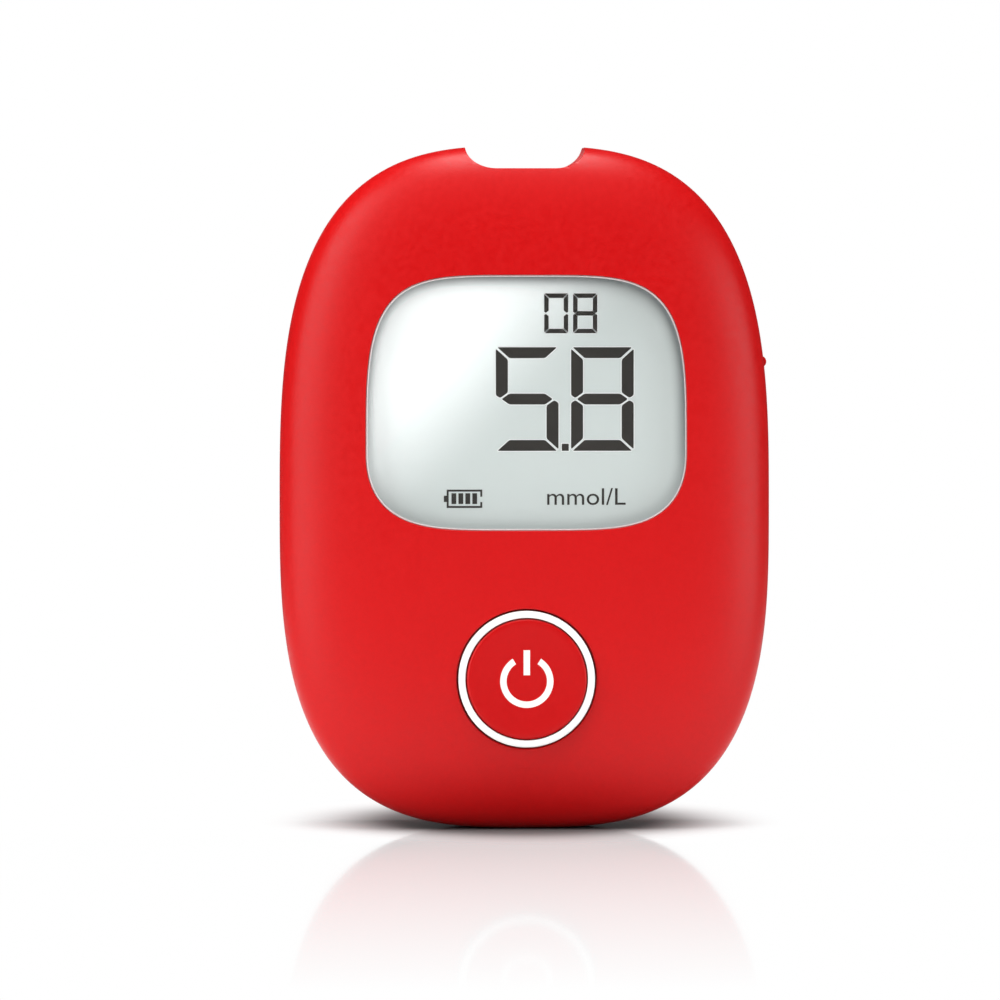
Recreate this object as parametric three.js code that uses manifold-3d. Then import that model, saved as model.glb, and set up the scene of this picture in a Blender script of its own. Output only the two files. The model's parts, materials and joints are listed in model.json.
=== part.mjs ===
// A hand-held blood glucose meter with a test strip slot, a display and one round key.
// Millimetres. The meter stands on its foot: X runs right, Y runs back, Z runs up.
// The two housing halves meet at Y = 0, the display faces -Y, and the foot touches Z = 0.

import * as THREE from 'three';
import { mergeVertices } from 'three/addons/utils/BufferGeometryUtils.js';
import Module from 'manifold-3d';

const wasm = await Module();
wasm.setup();

// Numbers of steps round curves
const outlineSteps = 60;
const hiddenSteps = 32;
const frontSteps = 8;
const backSteps = 5;
const cavitySteps = 4;
const roundSides = 36;
const pegSides = 12;
const cornerSteps = 4;
const notchSteps = 6;
const wireSides = 5;
const coilSteps = 8;

// Clearances
const fit = 0.3;
const snug = 0.15;
const overrun = 1;

// Outline of the housing as seen from the front. Its height above the belt is worked out below, from
// the cells, the ejector and the strip connector, which lie one above the other.
const bodyHalfWidth = 30.5;
const footHeight = 40.1;
const bodyPower = 3;

// Section of the housing. The depth of its back half is worked out below, from the cells.
const frontDepth = 11.1;
const frontPower = 3.2;
const backRoll = 9.5;
const backPower = 2.2;
const sideLand = 3.1;
const wall = 2;
const partingGap = 0.3;
const lipThickness = 0.8;
const lipHeight = 1.5;

// Notch in the crown, where a test strip goes in
const notchFloorHalfWidth = 3.6;
const notchSideRun = 3.85;
const notchSideHeight = 2.7;
const notchDepth = 2.9;

// Display window
const sideBezel = 10.5;
const topBezel = 16;
const windowLevel = 47;
const windowBottom = 9.85;
const windowSidePower = 4.6;
const windowTopPower = 3.8;
const windowBottomPower = 2.3;
const lensSink = 0.8;
const lensStep = 1.3;
const lensFlange = 1.6;
const lensFlangeThickness = 0.8;
const lensEdgeRound = 0.5;
const adhesiveThickness = 0.2;
const adhesiveInner = 0.4;
const adhesiveOuter = 1.4;
const gasketInner = 0.1;
const gasketOuter = 0.8;
const gasketThickness = 0.7;

// Display panel, its tray, and what feeds it
const panelSideMargin = 0.6;
const panelTopMargin = 1;
const panelFootMargin = 1.26;
const panelThickness = 2;
const trayWall = 1.05;
const trayCorner = 2.2;
const trayFloor = 0.4;
const trayShy = 0.2;
const reflectorThickness = 0.8;
const reflectorMargin = 0.6;
const reflectorFoot = 3.1;
const reflectorGap = 0.2;
const zebraMargin = 2.6;
const zebraHeight = 1.8;
const zebraFoot = 0.4;

// Main board, and the posts that it is screwed to, below and above the tray
const boardThickness = 1;
const boardInset = 4.2;
const boardHoleRadius = 1;
const postRadius = 2.1;
const postHoleRadius = 0.95;
const postHoleDepth = 4;
const lowPostInset = 9;
const lowPostGap = 2.5;
const highPostX = 9.6;
const highPostGap = 0.9;

// Screws
const boardScrewRadius = 0.75;
const boardScrewHeadRadius = 1.6;
const boardScrewHead = 0.9;
const boardScrewLength = 4;
const caseScrewRadius = 0.85;
const caseScrewHeadRadius = 1.75;
const caseScrewHead = 1.3;
const caseScrewLength = 13.2;
const driveWidth = 0.45;
const driveReach = 1;
const driveDepth = 0.5;
const bossRadius = 2.4;
const bossHoleRadius = 1;
const tubeRadius = 3.2;
const tubeHoleRadius = 1.15;
const counterboreRadius = 2.1;
const counterboreDepth = 2.9;
const highBossX = 15.5;
const highBossDrop = 10.5;
const lowBossShift = 1.75;
const lowBossDrop = 3.9;

// Key and the switch under it
const keyZ = 18.9;
const keyProud = 0.4;
const keyTravel = 0.6;
const keyHoleRadius = 8.67;
const keyGap = 0.22;
const ringWidth = 0.86;
const ringDepth = 1.4;
const ringRound = 0.2;
const keyDish = 0.15;
const keyRound = 0.3;
const keyFlangeWidth = 1.05;
const keyFlangeThickness = 0.7;
const keyFlangeDepth = 2.1;
const keyWall = 0.95;
const keySkin = 1.7;
const keyStemRadius = 1.8;
const collarWall = 1;
const collarLength = 2;
const switchHalfWidth = 3;
const switchHeight = 1.8;
const switchFloor = 0.3;
const plungerRadius = 1.5;
const plungerProud = 0.9;
const switchCorner = 0.6;

// Strip connector in the notch floor. It stands on the back of the board.
const stripHalfWidth = 3.3;
const stripStand = 2.4;
const stripSlot = 1.1;
const portHalfWidth = 5.2;
const portHeight = 10.1;
const portRoof = 1.35;
const noseHalfWidth = 4.3;
const noseWall = 0.85;
const noseShy = 0.2;
const mouthFlare = 0.5;
const mouthDepth = 1.2;
const contactCount = 5;
const contactPitch = 1.27;
const contactWidth = 0.5;
const contactThickness = 0.25;
const contactGroove = 0.8;
const contactFoot = 1.5;
const contactCrest = 4.4;
const contactTip = 6.3;
const contactShy = 0.2;
const contactTipDrop = 1;
const grooveHeight = 7;

// Strip ejector, worked by the nub in the right side wall. Its arm runs over the battery bay.
const ejectTravel = 4;
const nubDrop = 7.35;
const nubStand = 2.9;
const nubHeight = 1.5;
const nubHalfDepth = 1.4;
const nubReach = 6.4;
const shutterInset = 6.6;
const shutterThickness = 1.2;
const shutterHalfDepth = 2.2;
const shutterBelow = 5.05;
const shutterAbove = 6.55;
const armThickness = 1.1;
const armHeight = 2.2;
const armGap = 0.4;
const riserHeight = 5.4;
const riserReach = 4.4;
const riserShy = 1;
const fingerHalfWidth = 1.5;
const fingerThickness = 0.7;
const fingerReach = 0.6;
const lugThickness = 1.2;
const lugReach = 4.7;
const springInset = 2.7;
const springRadius = 1.2;
const springWire = 0.22;
const springTurns = 7;
const springSpace = 11.3;
const bracketThickness = 1;
const bracketHalfWidth = 1.9;
const bracketGap = 0.5;
const bracketCover = 2.6;

// Battery bay and cells
const cellRadius = 5.25;
const cellLength = 43.7;
const nubRadius = 1.9;
const nubLength = 0.8;
const cellEdge = 0.5;
const cellGap = 0.7;
const bayFloor = 16;
const bayGap = 0.5;
const bayWall = 1;
const bayStand = 0.55;
const ribHalfWidth = 0.2;
const ribReach = 2.2;
const contactPlate = 0.4;
const contactPlateInset = 1.25;
const contactPlateRise = 3.2;
const cellSpring = 2.1;
const cellSpringBase = 3;
const cellSpringTip = 1.9;
const cellSpringWire = 0.3;
const cellSpringTurns = 3;
const tailHalfWidth = 1;

// Battery door
const doorGap = 0.55;
const doorSideCover = 1.35;
const doorFootCover = 2.2;
const doorTopCover = 1.2;
const doorThickness = 1.5;
const doorCorner = 2.5;
const doorLedge = 1.4;
const doorLedgeWall = 1.2;
const hookInset = 2.6;
const hookHalfWidth = 1.75;
const hookShy = 0.6;
const hookThickness = 1.1;
const hookDrop = 1.6;
const hookRoot = 1.1;
const hookSweep = 0.9;
const latchHalfWidth = 3;
const latchReach = 1.8;
const latchThickness = 0.7;
const latchBump = 0.2;
const latchBumpDepth = 0.7;
const scoopRadius = 9;
const scoopDepth = 0.7;
const gripCount = 3;
const gripWidth = 12;
const gripPitch = 2.2;
const gripDepth = 0.35;
const gripHeight = 0.8;

// Parts on the back of the board, in a column on each side of the battery bay
const processorSize = 7;
const processorZ = 50;
const memoryWidth = 4;
const memoryHeight = 5;
const memoryZ = 38;
const amplifierInset = 12.8;
const amplifierRise = 3.6;
const amplifierWidth = 5;
const amplifierHeight = 3.4;
const chipThickness = 1;
const chipStand = 0.1;
const leadPitch = 0.8;
const leadWidth = 0.4;
const leadReach = 0.8;
const leadThickness = 0.25;
const crystalRise = 7.2;
const crystalHalfWidth = 2.4;
const crystalHalfHeight = 1.1;
const crystalThickness = 1.3;
const capacitorZ = 33.6;
const capacitorHalfWidth = 1.8;
const capacitorHalfHeight = 1.4;
const capacitorThickness = 1.8;
const buzzerZ = 40.2;
const buzzerRadius = 4.3;
const buzzerThickness = 2.4;
const buzzerHoleRadius = 0.7;
const buzzerHoleDepth = 0.8;
const partBevel = 0.12;

// Depths worked out from the sizes above, from the front face to the back one. Those named Y count
// back from the parting plane.
const lensFront = frontDepth - lensSink;
const lensSeatY = lensStep - lensFront;
const flangeFrontY = lensSeatY + adhesiveThickness;
const lensBackY = flangeFrontY + lensFlangeThickness;
const panelFrontY = lensBackY + gasketThickness;
const panelBackY = panelFrontY + panelThickness;
const trayFrontY = panelFrontY + trayShy;
const boardFrontY = panelBackY + reflectorGap + reflectorThickness + trayFloor;
const boardBackY = boardFrontY + boardThickness;
const bayFrontY = boardBackY + bayStand;
const bayFloorY = bayFrontY + bayWall;
const cellY = bayFloorY + fit + cellRadius;
const doorInnerY = cellY + cellRadius + doorGap;
const backDepth = doorInnerY + doorThickness;
const ledgeY = doorInnerY - fit;
const hookBackY = doorInnerY - hookShy;
const latchFrontY = doorInnerY - latchReach;
const counterboreY = backDepth - counterboreDepth;
const keyFaceY = -(frontDepth + keyProud);
const keyFlangeSeat = frontDepth - keyFlangeDepth;
const switchFrontY = boardFrontY - switchHeight;
const plungerFrontY = switchFrontY - plungerProud;
const stripY = boardBackY + stripStand;
const stripFrontY = stripY - stripSlot / 2;
const stripBackY = stripY + stripSlot / 2;
const armFrontY = boardBackY + fit;
const armBackY = armFrontY + armThickness;
const nubY = boardBackY + nubStand;
const bracketFrontY = armBackY + bracketGap;
const springY = bracketFrontY + bracketCover;

// Levels worked out, from the bay floor to the crown
const beltLevel = footHeight * Math.cos(Math.PI / outlineSteps) ** (2 / bodyPower);
const bayHeight = 2 * contactPlate + cellSpring + cellLength + nubLength + 2 * fit;
const bayRoof = bayFloor + bayHeight;
const armBottom = bayRoof + bayWall + armGap;
const armTop = armBottom + armHeight;
const portBottom = armTop + ejectTravel + armGap;
const notchFloor = portBottom + portHeight;
const crownTop = notchFloor + notchDepth;
const crownHeight = crownTop - beltLevel;
const windowTop = crownTop - topBezel - windowLevel;
const panelBottom = windowLevel - windowBottom - panelFootMargin;
const panelTop = windowLevel + windowTop + panelTopMargin;
const trayBottom = panelBottom - snug - trayWall;
const trayTop = panelTop + snug + trayWall;
const lowPostZ = trayBottom - lowPostGap - postRadius;
const highPostZ = trayTop + highPostGap + postRadius;
const lowBossZ = keyZ - lowBossDrop;
const highBossZ = crownTop - highBossDrop;
const nubZ = armBottom - nubDrop;
const shutterFoot = nubZ - shutterBelow;
const shutterTop = nubZ + shutterAbove;
const bracketBottom = shutterFoot + springSpace;
const doorFoot = bayFloor - doorFootCover;
const doorTop = bayRoof + doorTopCover;

// Places across the width, worked out
const windowHalfWidth = bodyHalfWidth - sideBezel;
const panelHalfWidth = windowHalfWidth + panelSideMargin;
const zebraHalfWidth = panelHalfWidth - zebraMargin;
const boardHalfWidth = bodyHalfWidth - boardInset;
const ringOuterRadius = keyHoleRadius - keyGap;
const ringInnerRadius = ringOuterRadius - ringWidth;
const keyFlangeRadius = keyHoleRadius + keyFlangeWidth;
const keyHollowRadius = ringInnerRadius - keyWall;
const collarRadius = keyFlangeRadius + fit;
const cellSpacing = 2 * cellRadius + cellGap;
const bayHalfWidth = cellSpacing / 2 + cellRadius + bayGap;
const contactPlateHalfWidth = cellRadius - contactPlateInset;
const doorHalfWidth = bayHalfWidth + doorSideCover;
const hookX = bayHalfWidth - hookInset;
const columnX = (bayHalfWidth + bayWall + boardHalfWidth) / 2;
const amplifierX = boardHalfWidth - amplifierInset;
const lowPostX = bodyHalfWidth - lowPostInset;
const lowBossX = (collarRadius + collarWall + boardHalfWidth) / 2 - lowBossShift;
const shutterX = bodyHalfWidth - shutterInset;
const shutterRight = shutterX + shutterThickness;
const nubEnd = shutterX + nubReach;
const riserX = shutterX - riserReach;
const riserEnd = shutterX - riserShy;
const lugX = shutterX - lugReach;
const springX = shutterX - springInset;

const bodyForm = {
  halfWidth: bodyHalfWidth,
  level: beltLevel,
  top: crownHeight,
  bottom: footHeight,
  sidePower: bodyPower,
  topPower: bodyPower,
  bottomPower: bodyPower,
};

const windowForm = {
  halfWidth: windowHalfWidth,
  level: windowLevel,
  top: windowTop,
  bottom: windowBottom,
  sidePower: windowSidePower,
  topPower: windowTopPower,
  bottomPower: windowBottomPower,
};

// Solids

function toSolid(source) {
  const bare = source.clone();
  bare.deleteAttribute('normal');
  bare.deleteAttribute('uv');
  const merged = mergeVertices(bare);
  return new wasm.Manifold(new wasm.Mesh({
    numProp: 3,
    vertProperties: new Float32Array(merged.attributes.position.array),
    triVerts: new Uint32Array(merged.index.array),
  }));
}

function toGeometry(solid) {
  const mesh = solid.getMesh();
  const geometry = new THREE.BufferGeometry();
  geometry.setAttribute('position', new THREE.BufferAttribute(mesh.vertProperties, 3));
  geometry.setIndex(new THREE.BufferAttribute(mesh.triVerts, 1));
  geometry.computeVertexNormals();
  return geometry;
}

function join(...solids) {
  return solids.reduce((whole, solid) => whole.add(solid));
}

function cut(solid, ...cutters) {
  return cutters.reduce((whole, cutter) => whole.subtract(cutter), solid);
}

// A rounded outline: its sides, top and bottom each follow a power curve, from the square to the
// round. A short flat lies across each end of both axes.
function outline(form, grow, steps = outlineSteps) {
  const points = [];
  for (let step = 0; step < steps; step += 1) {
    const angle = (step + 0.5) / steps * 2 * Math.PI;
    const across = Math.cos(angle);
    const along = Math.sin(angle);
    const height = (along > 0 ? form.top : form.bottom) + grow;
    const power = along > 0 ? form.topPower : form.bottomPower;
    const x = Math.sign(across) * (form.halfWidth + grow) * Math.abs(across) ** (2 / form.sidePower);
    const z = form.level + Math.sign(along) * height * Math.abs(along) ** (2 / power);
    points.push(new THREE.Vector2(x, z));
  }
  return points;
}

// A rectangle with round corners, given by its left, right, low and high edges.
function roundedBlock(left, right, low, high, radius) {
  const points = [];
  const corners = [
    [right - radius, low + radius, -Math.PI / 2],
    [right - radius, high - radius, 0],
    [left + radius, high - radius, Math.PI / 2],
    [left + radius, low + radius, Math.PI],
  ];
  for (const [x, z, start] of corners) {
    for (let step = 0; step <= cornerSteps; step += 1) {
      const angle = start + step / cornerSteps * Math.PI / 2;
      points.push(new THREE.Vector2(x + radius * Math.cos(angle), z + radius * Math.sin(angle)));
    }
  }
  return points;
}

// The notch: a flat floor between two quarter ellipses that rise to the rim.
function notchOutline(grow) {
  const rim = notchFloor + notchSideHeight;
  const points = [];
  for (const side of [-1, 1]) {
    for (let step = 0; step <= notchSteps; step += 1) {
      const share = side < 0 ? step / notchSteps : 1 - step / notchSteps;
      const angle = share * Math.PI / 2;
      const x = notchFloorHalfWidth + (notchSideRun + grow) * Math.cos(angle);
      points.push(new THREE.Vector2(side * x, rim - (notchSideHeight + grow) * Math.sin(angle)));
    }
  }
  const edge = notchFloorHalfWidth + notchSideRun + grow;
  points.push(new THREE.Vector2(edge, rim + notchDepth + grow));
  points.push(new THREE.Vector2(-edge, rim + notchDepth + grow));
  return points;
}

// A solid through convex outlines, from the front one to the back one. Each ring is {points, y}.
function loft(rings) {
  const count = rings[0].points.length;
  const positions = [];
  const indices = [];
  for (const ring of rings) {
    for (const point of ring.points) {
      positions.push(point.x, ring.y, point.y);
    }
  }
  for (let ring = 0; ring + 1 < rings.length; ring += 1) {
    for (let step = 0; step < count; step += 1) {
      const here = ring * count + step;
      const next = ring * count + (step + 1) % count;
      indices.push(here, here + count, next, next, here + count, next + count);
    }
  }
  const lastStart = (rings.length - 1) * count;
  const frontCentre = positions.length / 3;
  for (const ring of [rings[0], rings[rings.length - 1]]) {
    const sum = new THREE.Vector2();
    ring.points.forEach((point) => sum.add(point));
    positions.push(sum.x / count, ring.y, sum.y / count);
  }
  for (let step = 0; step < count; step += 1) {
    const next = (step + 1) % count;
    indices.push(frontCentre, step, next);
    indices.push(frontCentre + 1, lastStart + next, lastStart + step);
  }
  const geometry = new THREE.BufferGeometry();
  geometry.setAttribute('position', new THREE.Float32BufferAttribute(positions, 3));
  geometry.setIndex(indices);
  return toSolid(geometry);
}

function plate(points, front, back) {
  return loft([{ points, y: front }, { points, y: back }]);
}

function block([left, right], [front, back], [low, high]) {
  const geometry = new THREE.BoxGeometry(right - left, back - front, high - low);
  geometry.translate((left + right) / 2, (front + back) / 2, (low + high) / 2);
  return toSolid(geometry);
}

// A round peg along Y.
function peg(radius, front, back, x, z, sides = pegSides) {
  const geometry = new THREE.CylinderGeometry(radius, radius, back - front, sides);
  geometry.translate(x, (front + back) / 2, z);
  return toSolid(geometry);
}

// A turned solid about Y, from points of radius and Y.
function turned(profile, sides = roundSides) {
  const points = profile.map(([radius, y]) => new THREE.Vector2(radius, y));
  return toSolid(new THREE.LatheGeometry(points, sides));
}

// A profile in the YZ plane, made as thick as width along X and centred there.
function crossPlate(profile, width) {
  const shape = new THREE.Shape(profile.map(([y, z]) => new THREE.Vector2(y, z)));
  const geometry = new THREE.ExtrudeGeometry(shape, { depth: width, bevelEnabled: false });
  geometry.translate(0, 0, -width / 2);
  geometry.rotateX(Math.PI / 2);
  geometry.rotateZ(Math.PI / 2);
  return toSolid(geometry);
}

// Rings of the housing's front half, offset by grow: the front curves all the way to its middle.
function frontRings(grow, steps, lastY, around = outlineSteps) {
  const roll = bodyHalfWidth + grow;
  const rise = frontDepth - sideLand + grow;
  const rings = [];
  for (let step = steps - 1; step >= 0; step -= 1) {
    const angle = step / steps * Math.PI / 2;
    const inset = roll * (1 - Math.cos(angle) ** (2 / frontPower));
    const y = -(sideLand + rise * Math.sin(angle) ** (2 / frontPower));
    rings.push({ points: outline(bodyForm, grow - inset, around), y });
  }
  rings.push({ points: outline(bodyForm, grow, around), y: lastY });
  return rings;
}

// Rings of the back half, offset by grow: a rounded edge round a flat back.
function backRings(grow, steps, firstY, around = outlineSteps) {
  const roll = backRoll + grow;
  const rise = backDepth - sideLand + grow;
  const rings = [{ points: outline(bodyForm, grow, around), y: firstY }];
  for (let step = 0; step <= steps; step += 1) {
    const angle = step / steps * Math.PI / 2;
    const inset = roll * (1 - Math.cos(angle) ** (2 / backPower));
    const y = sideLand + rise * Math.sin(angle) ** (2 / backPower);
    rings.push({ points: outline(bodyForm, grow - inset, around), y });
  }
  return rings;
}

// A wire along a helix about Z. Its radius runs from firstRadius at low to lastRadius at high.
class Helix extends THREE.Curve {
  constructor(firstRadius, lastRadius, low, high, turns) {
    super();
    Object.assign(this, { firstRadius, lastRadius, low, high, turns });
  }

  getPoint(share, target = new THREE.Vector3()) {
    const angle = share * this.turns * 2 * Math.PI;
    const radius = this.firstRadius + share * (this.lastRadius - this.firstRadius);
    const z = this.low + share * (this.high - this.low);
    return target.set(radius * Math.cos(angle), radius * Math.sin(angle), z);
  }
}

function coil(path, wireRadius) {
  const section = new THREE.Shape();
  for (let side = 0; side < wireSides; side += 1) {
    const angle = side / wireSides * 2 * Math.PI;
    const point = [wireRadius * Math.cos(angle), wireRadius * Math.sin(angle)];
    if (side === 0) {
      section.moveTo(...point);
    } else {
      section.lineTo(...point);
    }
  }
  const steps = Math.round(path.turns * coilSteps);
  return toSolid(new THREE.ExtrudeGeometry(section, { steps, extrudePath: path }));
}

// Finishes

function finish(color, roughness, metalness) {
  return new THREE.MeshStandardMaterial({ color, roughness, metalness });
}

const redPlastic = () => finish(0xd21f26, 0.5, 0);
const whitePlastic = () => finish(0xf7f6f3, 0.45, 0);
const blackPlastic = () => finish(0x1b1c1f, 0.5, 0);
const greyPlastic = () => finish(0x8f9296, 0.55, 0);
const steel = () => finish(0xb4b6ba, 0.3, 1);
const gold = () => finish(0xd6aa52, 0.3, 1);

function piece(name, solid, material, place = [0, 0, 0]) {
  const mesh = new THREE.Mesh(toGeometry(solid), material);
  mesh.name = name;
  mesh.position.set(...place);
  return mesh;
}

function group(...children) {
  const holder = new THREE.Group();
  holder.add(...children);
  return holder;
}

const sides = [-1, 1];
const bosses = [
  ...sides.map((side) => [side * highBossX, highBossZ]),
  ...sides.map((side) => [side * lowBossX, lowBossZ]),
];
const posts = [
  ...sides.map((side) => [side * highPostX, highPostZ]),
  ...sides.map((side) => [side * lowPostX, lowPostZ]),
];

// Cutters that both housing halves share

const deepFront = -(frontDepth + overrun);
const deepBack = backDepth + overrun;

function notchCutter(grow) {
  return plate(notchOutline(grow), deepFront, deepBack);
}

function portOpening() {
  return block(
    [-noseHalfWidth - fit, noseHalfWidth + fit],
    [stripFrontY - noseWall - fit, stripBackY + noseWall + fit],
    [notchFloor - wall - overrun, notchFloor + overrun],
  );
}

function nubSlot() {
  const low = nubZ - nubHeight / 2 - fit;
  const high = nubZ + nubHeight / 2 + ejectTravel + fit;
  const halfDepth = nubHalfDepth + fit;
  return block(
    [shutterRight + fit, bodyHalfWidth + overrun],
    [nubY - halfDepth, nubY + halfDepth],
    [low, high],
  );
}

// The lip of the back half stands in a rebate of the front half, all round the parting line.
function lipRing(outerGrow, front, back) {
  const inner = plate(outline(bodyForm, -wall, hiddenSteps), front - overrun, back + overrun);
  return cut(plate(outline(bodyForm, outerGrow, hiddenSteps), front, back), inner);
}

// Tray that carries the display cell, with its outer edges offset by grow
function trayOutline(grow) {
  const halfWidth = panelHalfWidth + snug + trayWall + grow;
  const low = trayBottom - grow;
  const high = trayTop + grow;
  return roundedBlock(-halfWidth, halfWidth, low, high, trayCorner + grow);
}

// Front housing half

function frontHalf() {
  const halfGap = partingGap / 2;
  const outer = loft(frontRings(0, frontSteps, -halfGap));
  const solidPart = loft(frontRings(-wall / 2, cavitySteps, -halfGap, hiddenSteps));
  const cavity = cut(loft(frontRings(-wall, cavitySteps, overrun, hiddenSteps)), notchCutter(wall));

  const lensPocket = plate(outline(windowForm, lensFlange + fit), lensSeatY, overrun);
  const trayPocket = plate(trayOutline(fit), panelFrontY - fit, overrun);
  const keyPocket = peg(collarRadius, -keyFlangeSeat, overrun, 0, keyZ, roundSides);
  const shell = cut(outer, cavity, lensPocket, trayPocket, keyPocket);

  const collar = cut(
    peg(collarRadius + collarWall, -frontDepth, collarLength - keyFlangeSeat, 0, keyZ, roundSides),
    peg(collarRadius, deepFront, overrun, 0, keyZ, roundSides),
  );
  const bossPegs = bosses.map(([x, z]) => peg(bossRadius, -frontDepth, -halfGap, x, z));
  const postPegs = posts.map(([x, z]) => peg(postRadius, -frontDepth, boardFrontY, x, z));
  const inside = join(collar, ...bossPegs, ...postPegs).intersect(solidPart);

  const windowOpening = loft([
    { points: outline(windowForm, lensEdgeRound), y: deepFront },
    { points: outline(windowForm, lensEdgeRound), y: -lensFront - lensEdgeRound },
    { points: outline(windowForm, 0), y: -lensFront + lensEdgeRound },
    { points: outline(windowForm, 0), y: lensSeatY + overrun },
  ]);
  const keyHole = peg(keyHoleRadius, deepFront, -keyFlangeSeat + overrun, 0, keyZ, roundSides);
  const rebate = cut(
    lipRing(lipThickness - wall + fit, -lipHeight - fit, 0),
    notchCutter(wall),
  );
  const bossHoles = bosses.map(([x, z]) => (
    peg(bossHoleRadius, counterboreY - caseScrewLength - fit, overrun, x, z)
  ));
  const postHoles = posts.map(([x, z]) => (
    peg(postHoleRadius, boardFrontY - postHoleDepth, boardFrontY + overrun, x, z)
  ));
  return cut(
    join(shell, inside),
    windowOpening,
    keyHole,
    rebate,
    notchCutter(0),
    portOpening(),
    nubSlot(),
    ...bossHoles,
    ...postHoles,
  );
}

// Back housing half, with the battery bay

function doorOutline(grow) {
  return roundedBlock(
    -doorHalfWidth - grow,
    doorHalfWidth + grow,
    doorFoot - grow,
    doorTop + grow,
    doorCorner + grow,
  );
}

function scoop() {
  const geometry = new THREE.SphereGeometry(scoopRadius, roundSides / 2, roundSides / 4);
  geometry.translate(0, backDepth + scoopRadius - scoopDepth, doorTop + fit);
  return toSolid(geometry);
}

function bayBlock() {
  return block(
    [-bayHalfWidth - bayWall, bayHalfWidth + bayWall],
    [bayFrontY, ledgeY],
    [bayFloor - bayWall, bayRoof + bayWall],
  );
}

function hookPocket(side) {
  const halfWidth = hookHalfWidth + fit;
  return block(
    [side * hookX - halfWidth, side * hookX + halfWidth],
    [hookBackY - hookThickness - hookSweep, ledgeY],
    [doorFoot - hookDrop - fit, bayFloor + hookSweep],
  );
}

function tailSlot(side) {
  const halfWidth = tailHalfWidth + fit;
  return block(
    [side * cellSpacing / 2 - halfWidth, side * cellSpacing / 2 + halfWidth],
    [bayFrontY - overrun, bayFloorY + overrun],
    [bayRoof - contactPlate - fit, bayRoof + fit],
  );
}

function backHalf() {
  const halfGap = partingGap / 2;
  const outer = loft(backRings(0, backSteps, halfGap));
  const solidPart = loft(backRings(-wall / 2, cavitySteps, halfGap, hiddenSteps));
  const cavity = cut(loft(backRings(-wall, cavitySteps, -overrun, hiddenSteps)), notchCutter(wall));
  const shell = cut(outer, cavity);

  const lip = cut(
    lipRing(lipThickness - wall, -lipHeight, sideLand),
    notchCutter(wall + fit),
  );
  const tubes = bosses.map(([x, z]) => peg(tubeRadius, halfGap, backDepth, x, z));
  const bracket = block(
    [springX - bracketHalfWidth, springX + bracketHalfWidth],
    [bracketFrontY, backDepth],
    [bracketBottom, bracketBottom + bracketThickness],
  );
  const inside = join(bracket, ...tubes).intersect(solidPart);
  const ledge = plate(doorOutline(doorLedgeWall), ledgeY - doorLedge, ledgeY);

  const bay = block(
    [-bayHalfWidth, bayHalfWidth],
    [bayFloorY, deepBack],
    [bayFloor, bayRoof],
  );
  const rib = block(
    [-ribHalfWidth, ribHalfWidth],
    [bayFloorY - bayWall / 2, bayFloorY + ribReach],
    [bayFloor + contactPlate + fit, bayRoof - contactPlate - fit],
  );
  const doorRecess = plate(doorOutline(fit), ledgeY, deepBack);
  const latchRecess = block(
    [-latchHalfWidth - fit, latchHalfWidth + fit],
    [latchFrontY - fit, deepBack],
    [bayRoof - overrun, doorTop + fit],
  );
  const screwHoles = bosses.map(([x, z]) => join(
    peg(tubeHoleRadius, -overrun, deepBack, x, z),
    peg(counterboreRadius, counterboreY, deepBack, x, z),
  ));
  const body = cut(
    join(shell, lip, inside, bayBlock(), ledge),
    bay,
    doorRecess,
    latchRecess,
    scoop(),
    notchCutter(0),
    portOpening(),
    nubSlot(),
    ...sides.map(hookPocket),
    ...sides.map(tailSlot),
    ...screwHoles,
  );
  return join(body, rib);
}

function batteryDoor() {
  const panel = plate(doorOutline(0), doorInnerY, backDepth);
  const hooks = sides.map((side) => {
    const across = [side * hookX - hookHalfWidth, side * hookX + hookHalfWidth];
    return join(
      block(
        across,
        [hookBackY - hookThickness, doorInnerY + doorThickness / 2],
        [doorFoot, doorFoot + hookRoot],
      ),
      block(across, [hookBackY - hookThickness, hookBackY], [doorFoot - hookDrop, doorFoot + hookRoot]),
    );
  });
  const latchRoof = doorTop - latchBump;
  const latch = join(
    block(
      [-latchHalfWidth, latchHalfWidth],
      [latchFrontY, doorInnerY + doorThickness / 2],
      [latchRoof - latchThickness, latchRoof],
    ),
    block(
      [-latchHalfWidth, latchHalfWidth],
      [latchFrontY, latchFrontY + latchBumpDepth],
      [latchRoof - latchThickness, doorTop],
    ),
  );
  const grips = [];
  for (let row = 0; row < gripCount; row += 1) {
    const z = doorTop - scoopRadius / 2 - row * gripPitch;
    grips.push(block(
      [-gripWidth / 2, gripWidth / 2],
      [backDepth - gripDepth, deepBack],
      [z - gripHeight / 2, z + gripHeight / 2],
    ));
  }
  return cut(join(panel, ...hooks, latch), scoop(), ...grips);
}

function housing() {
  return group(
    piece('front_shell', frontHalf(), redPlastic()),
    piece('rear_shell', backHalf(), redPlastic()),
    piece('battery_door', batteryDoor(), redPlastic()),
  );
}

// Display

function lens() {
  const glass = finish(0xe9f0ef, 0.08, 0);
  glass.transparent = true;
  glass.opacity = 0.35;
  const flange = plate(outline(windowForm, lensFlange), flangeFrontY, lensBackY);
  const face = loft([
    { points: outline(windowForm, -snug - lensEdgeRound), y: -lensFront },
    { points: outline(windowForm, -snug), y: -lensFront + lensEdgeRound },
    { points: outline(windowForm, -snug), y: lensBackY },
  ]);
  return piece('display_lens', join(flange, face), glass);
}

function windowRing(inner, outer, front, back) {
  return cut(
    plate(outline(windowForm, outer, hiddenSteps), front, back),
    plate(outline(windowForm, inner, hiddenSteps), front - overrun, back + overrun),
  );
}

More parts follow.
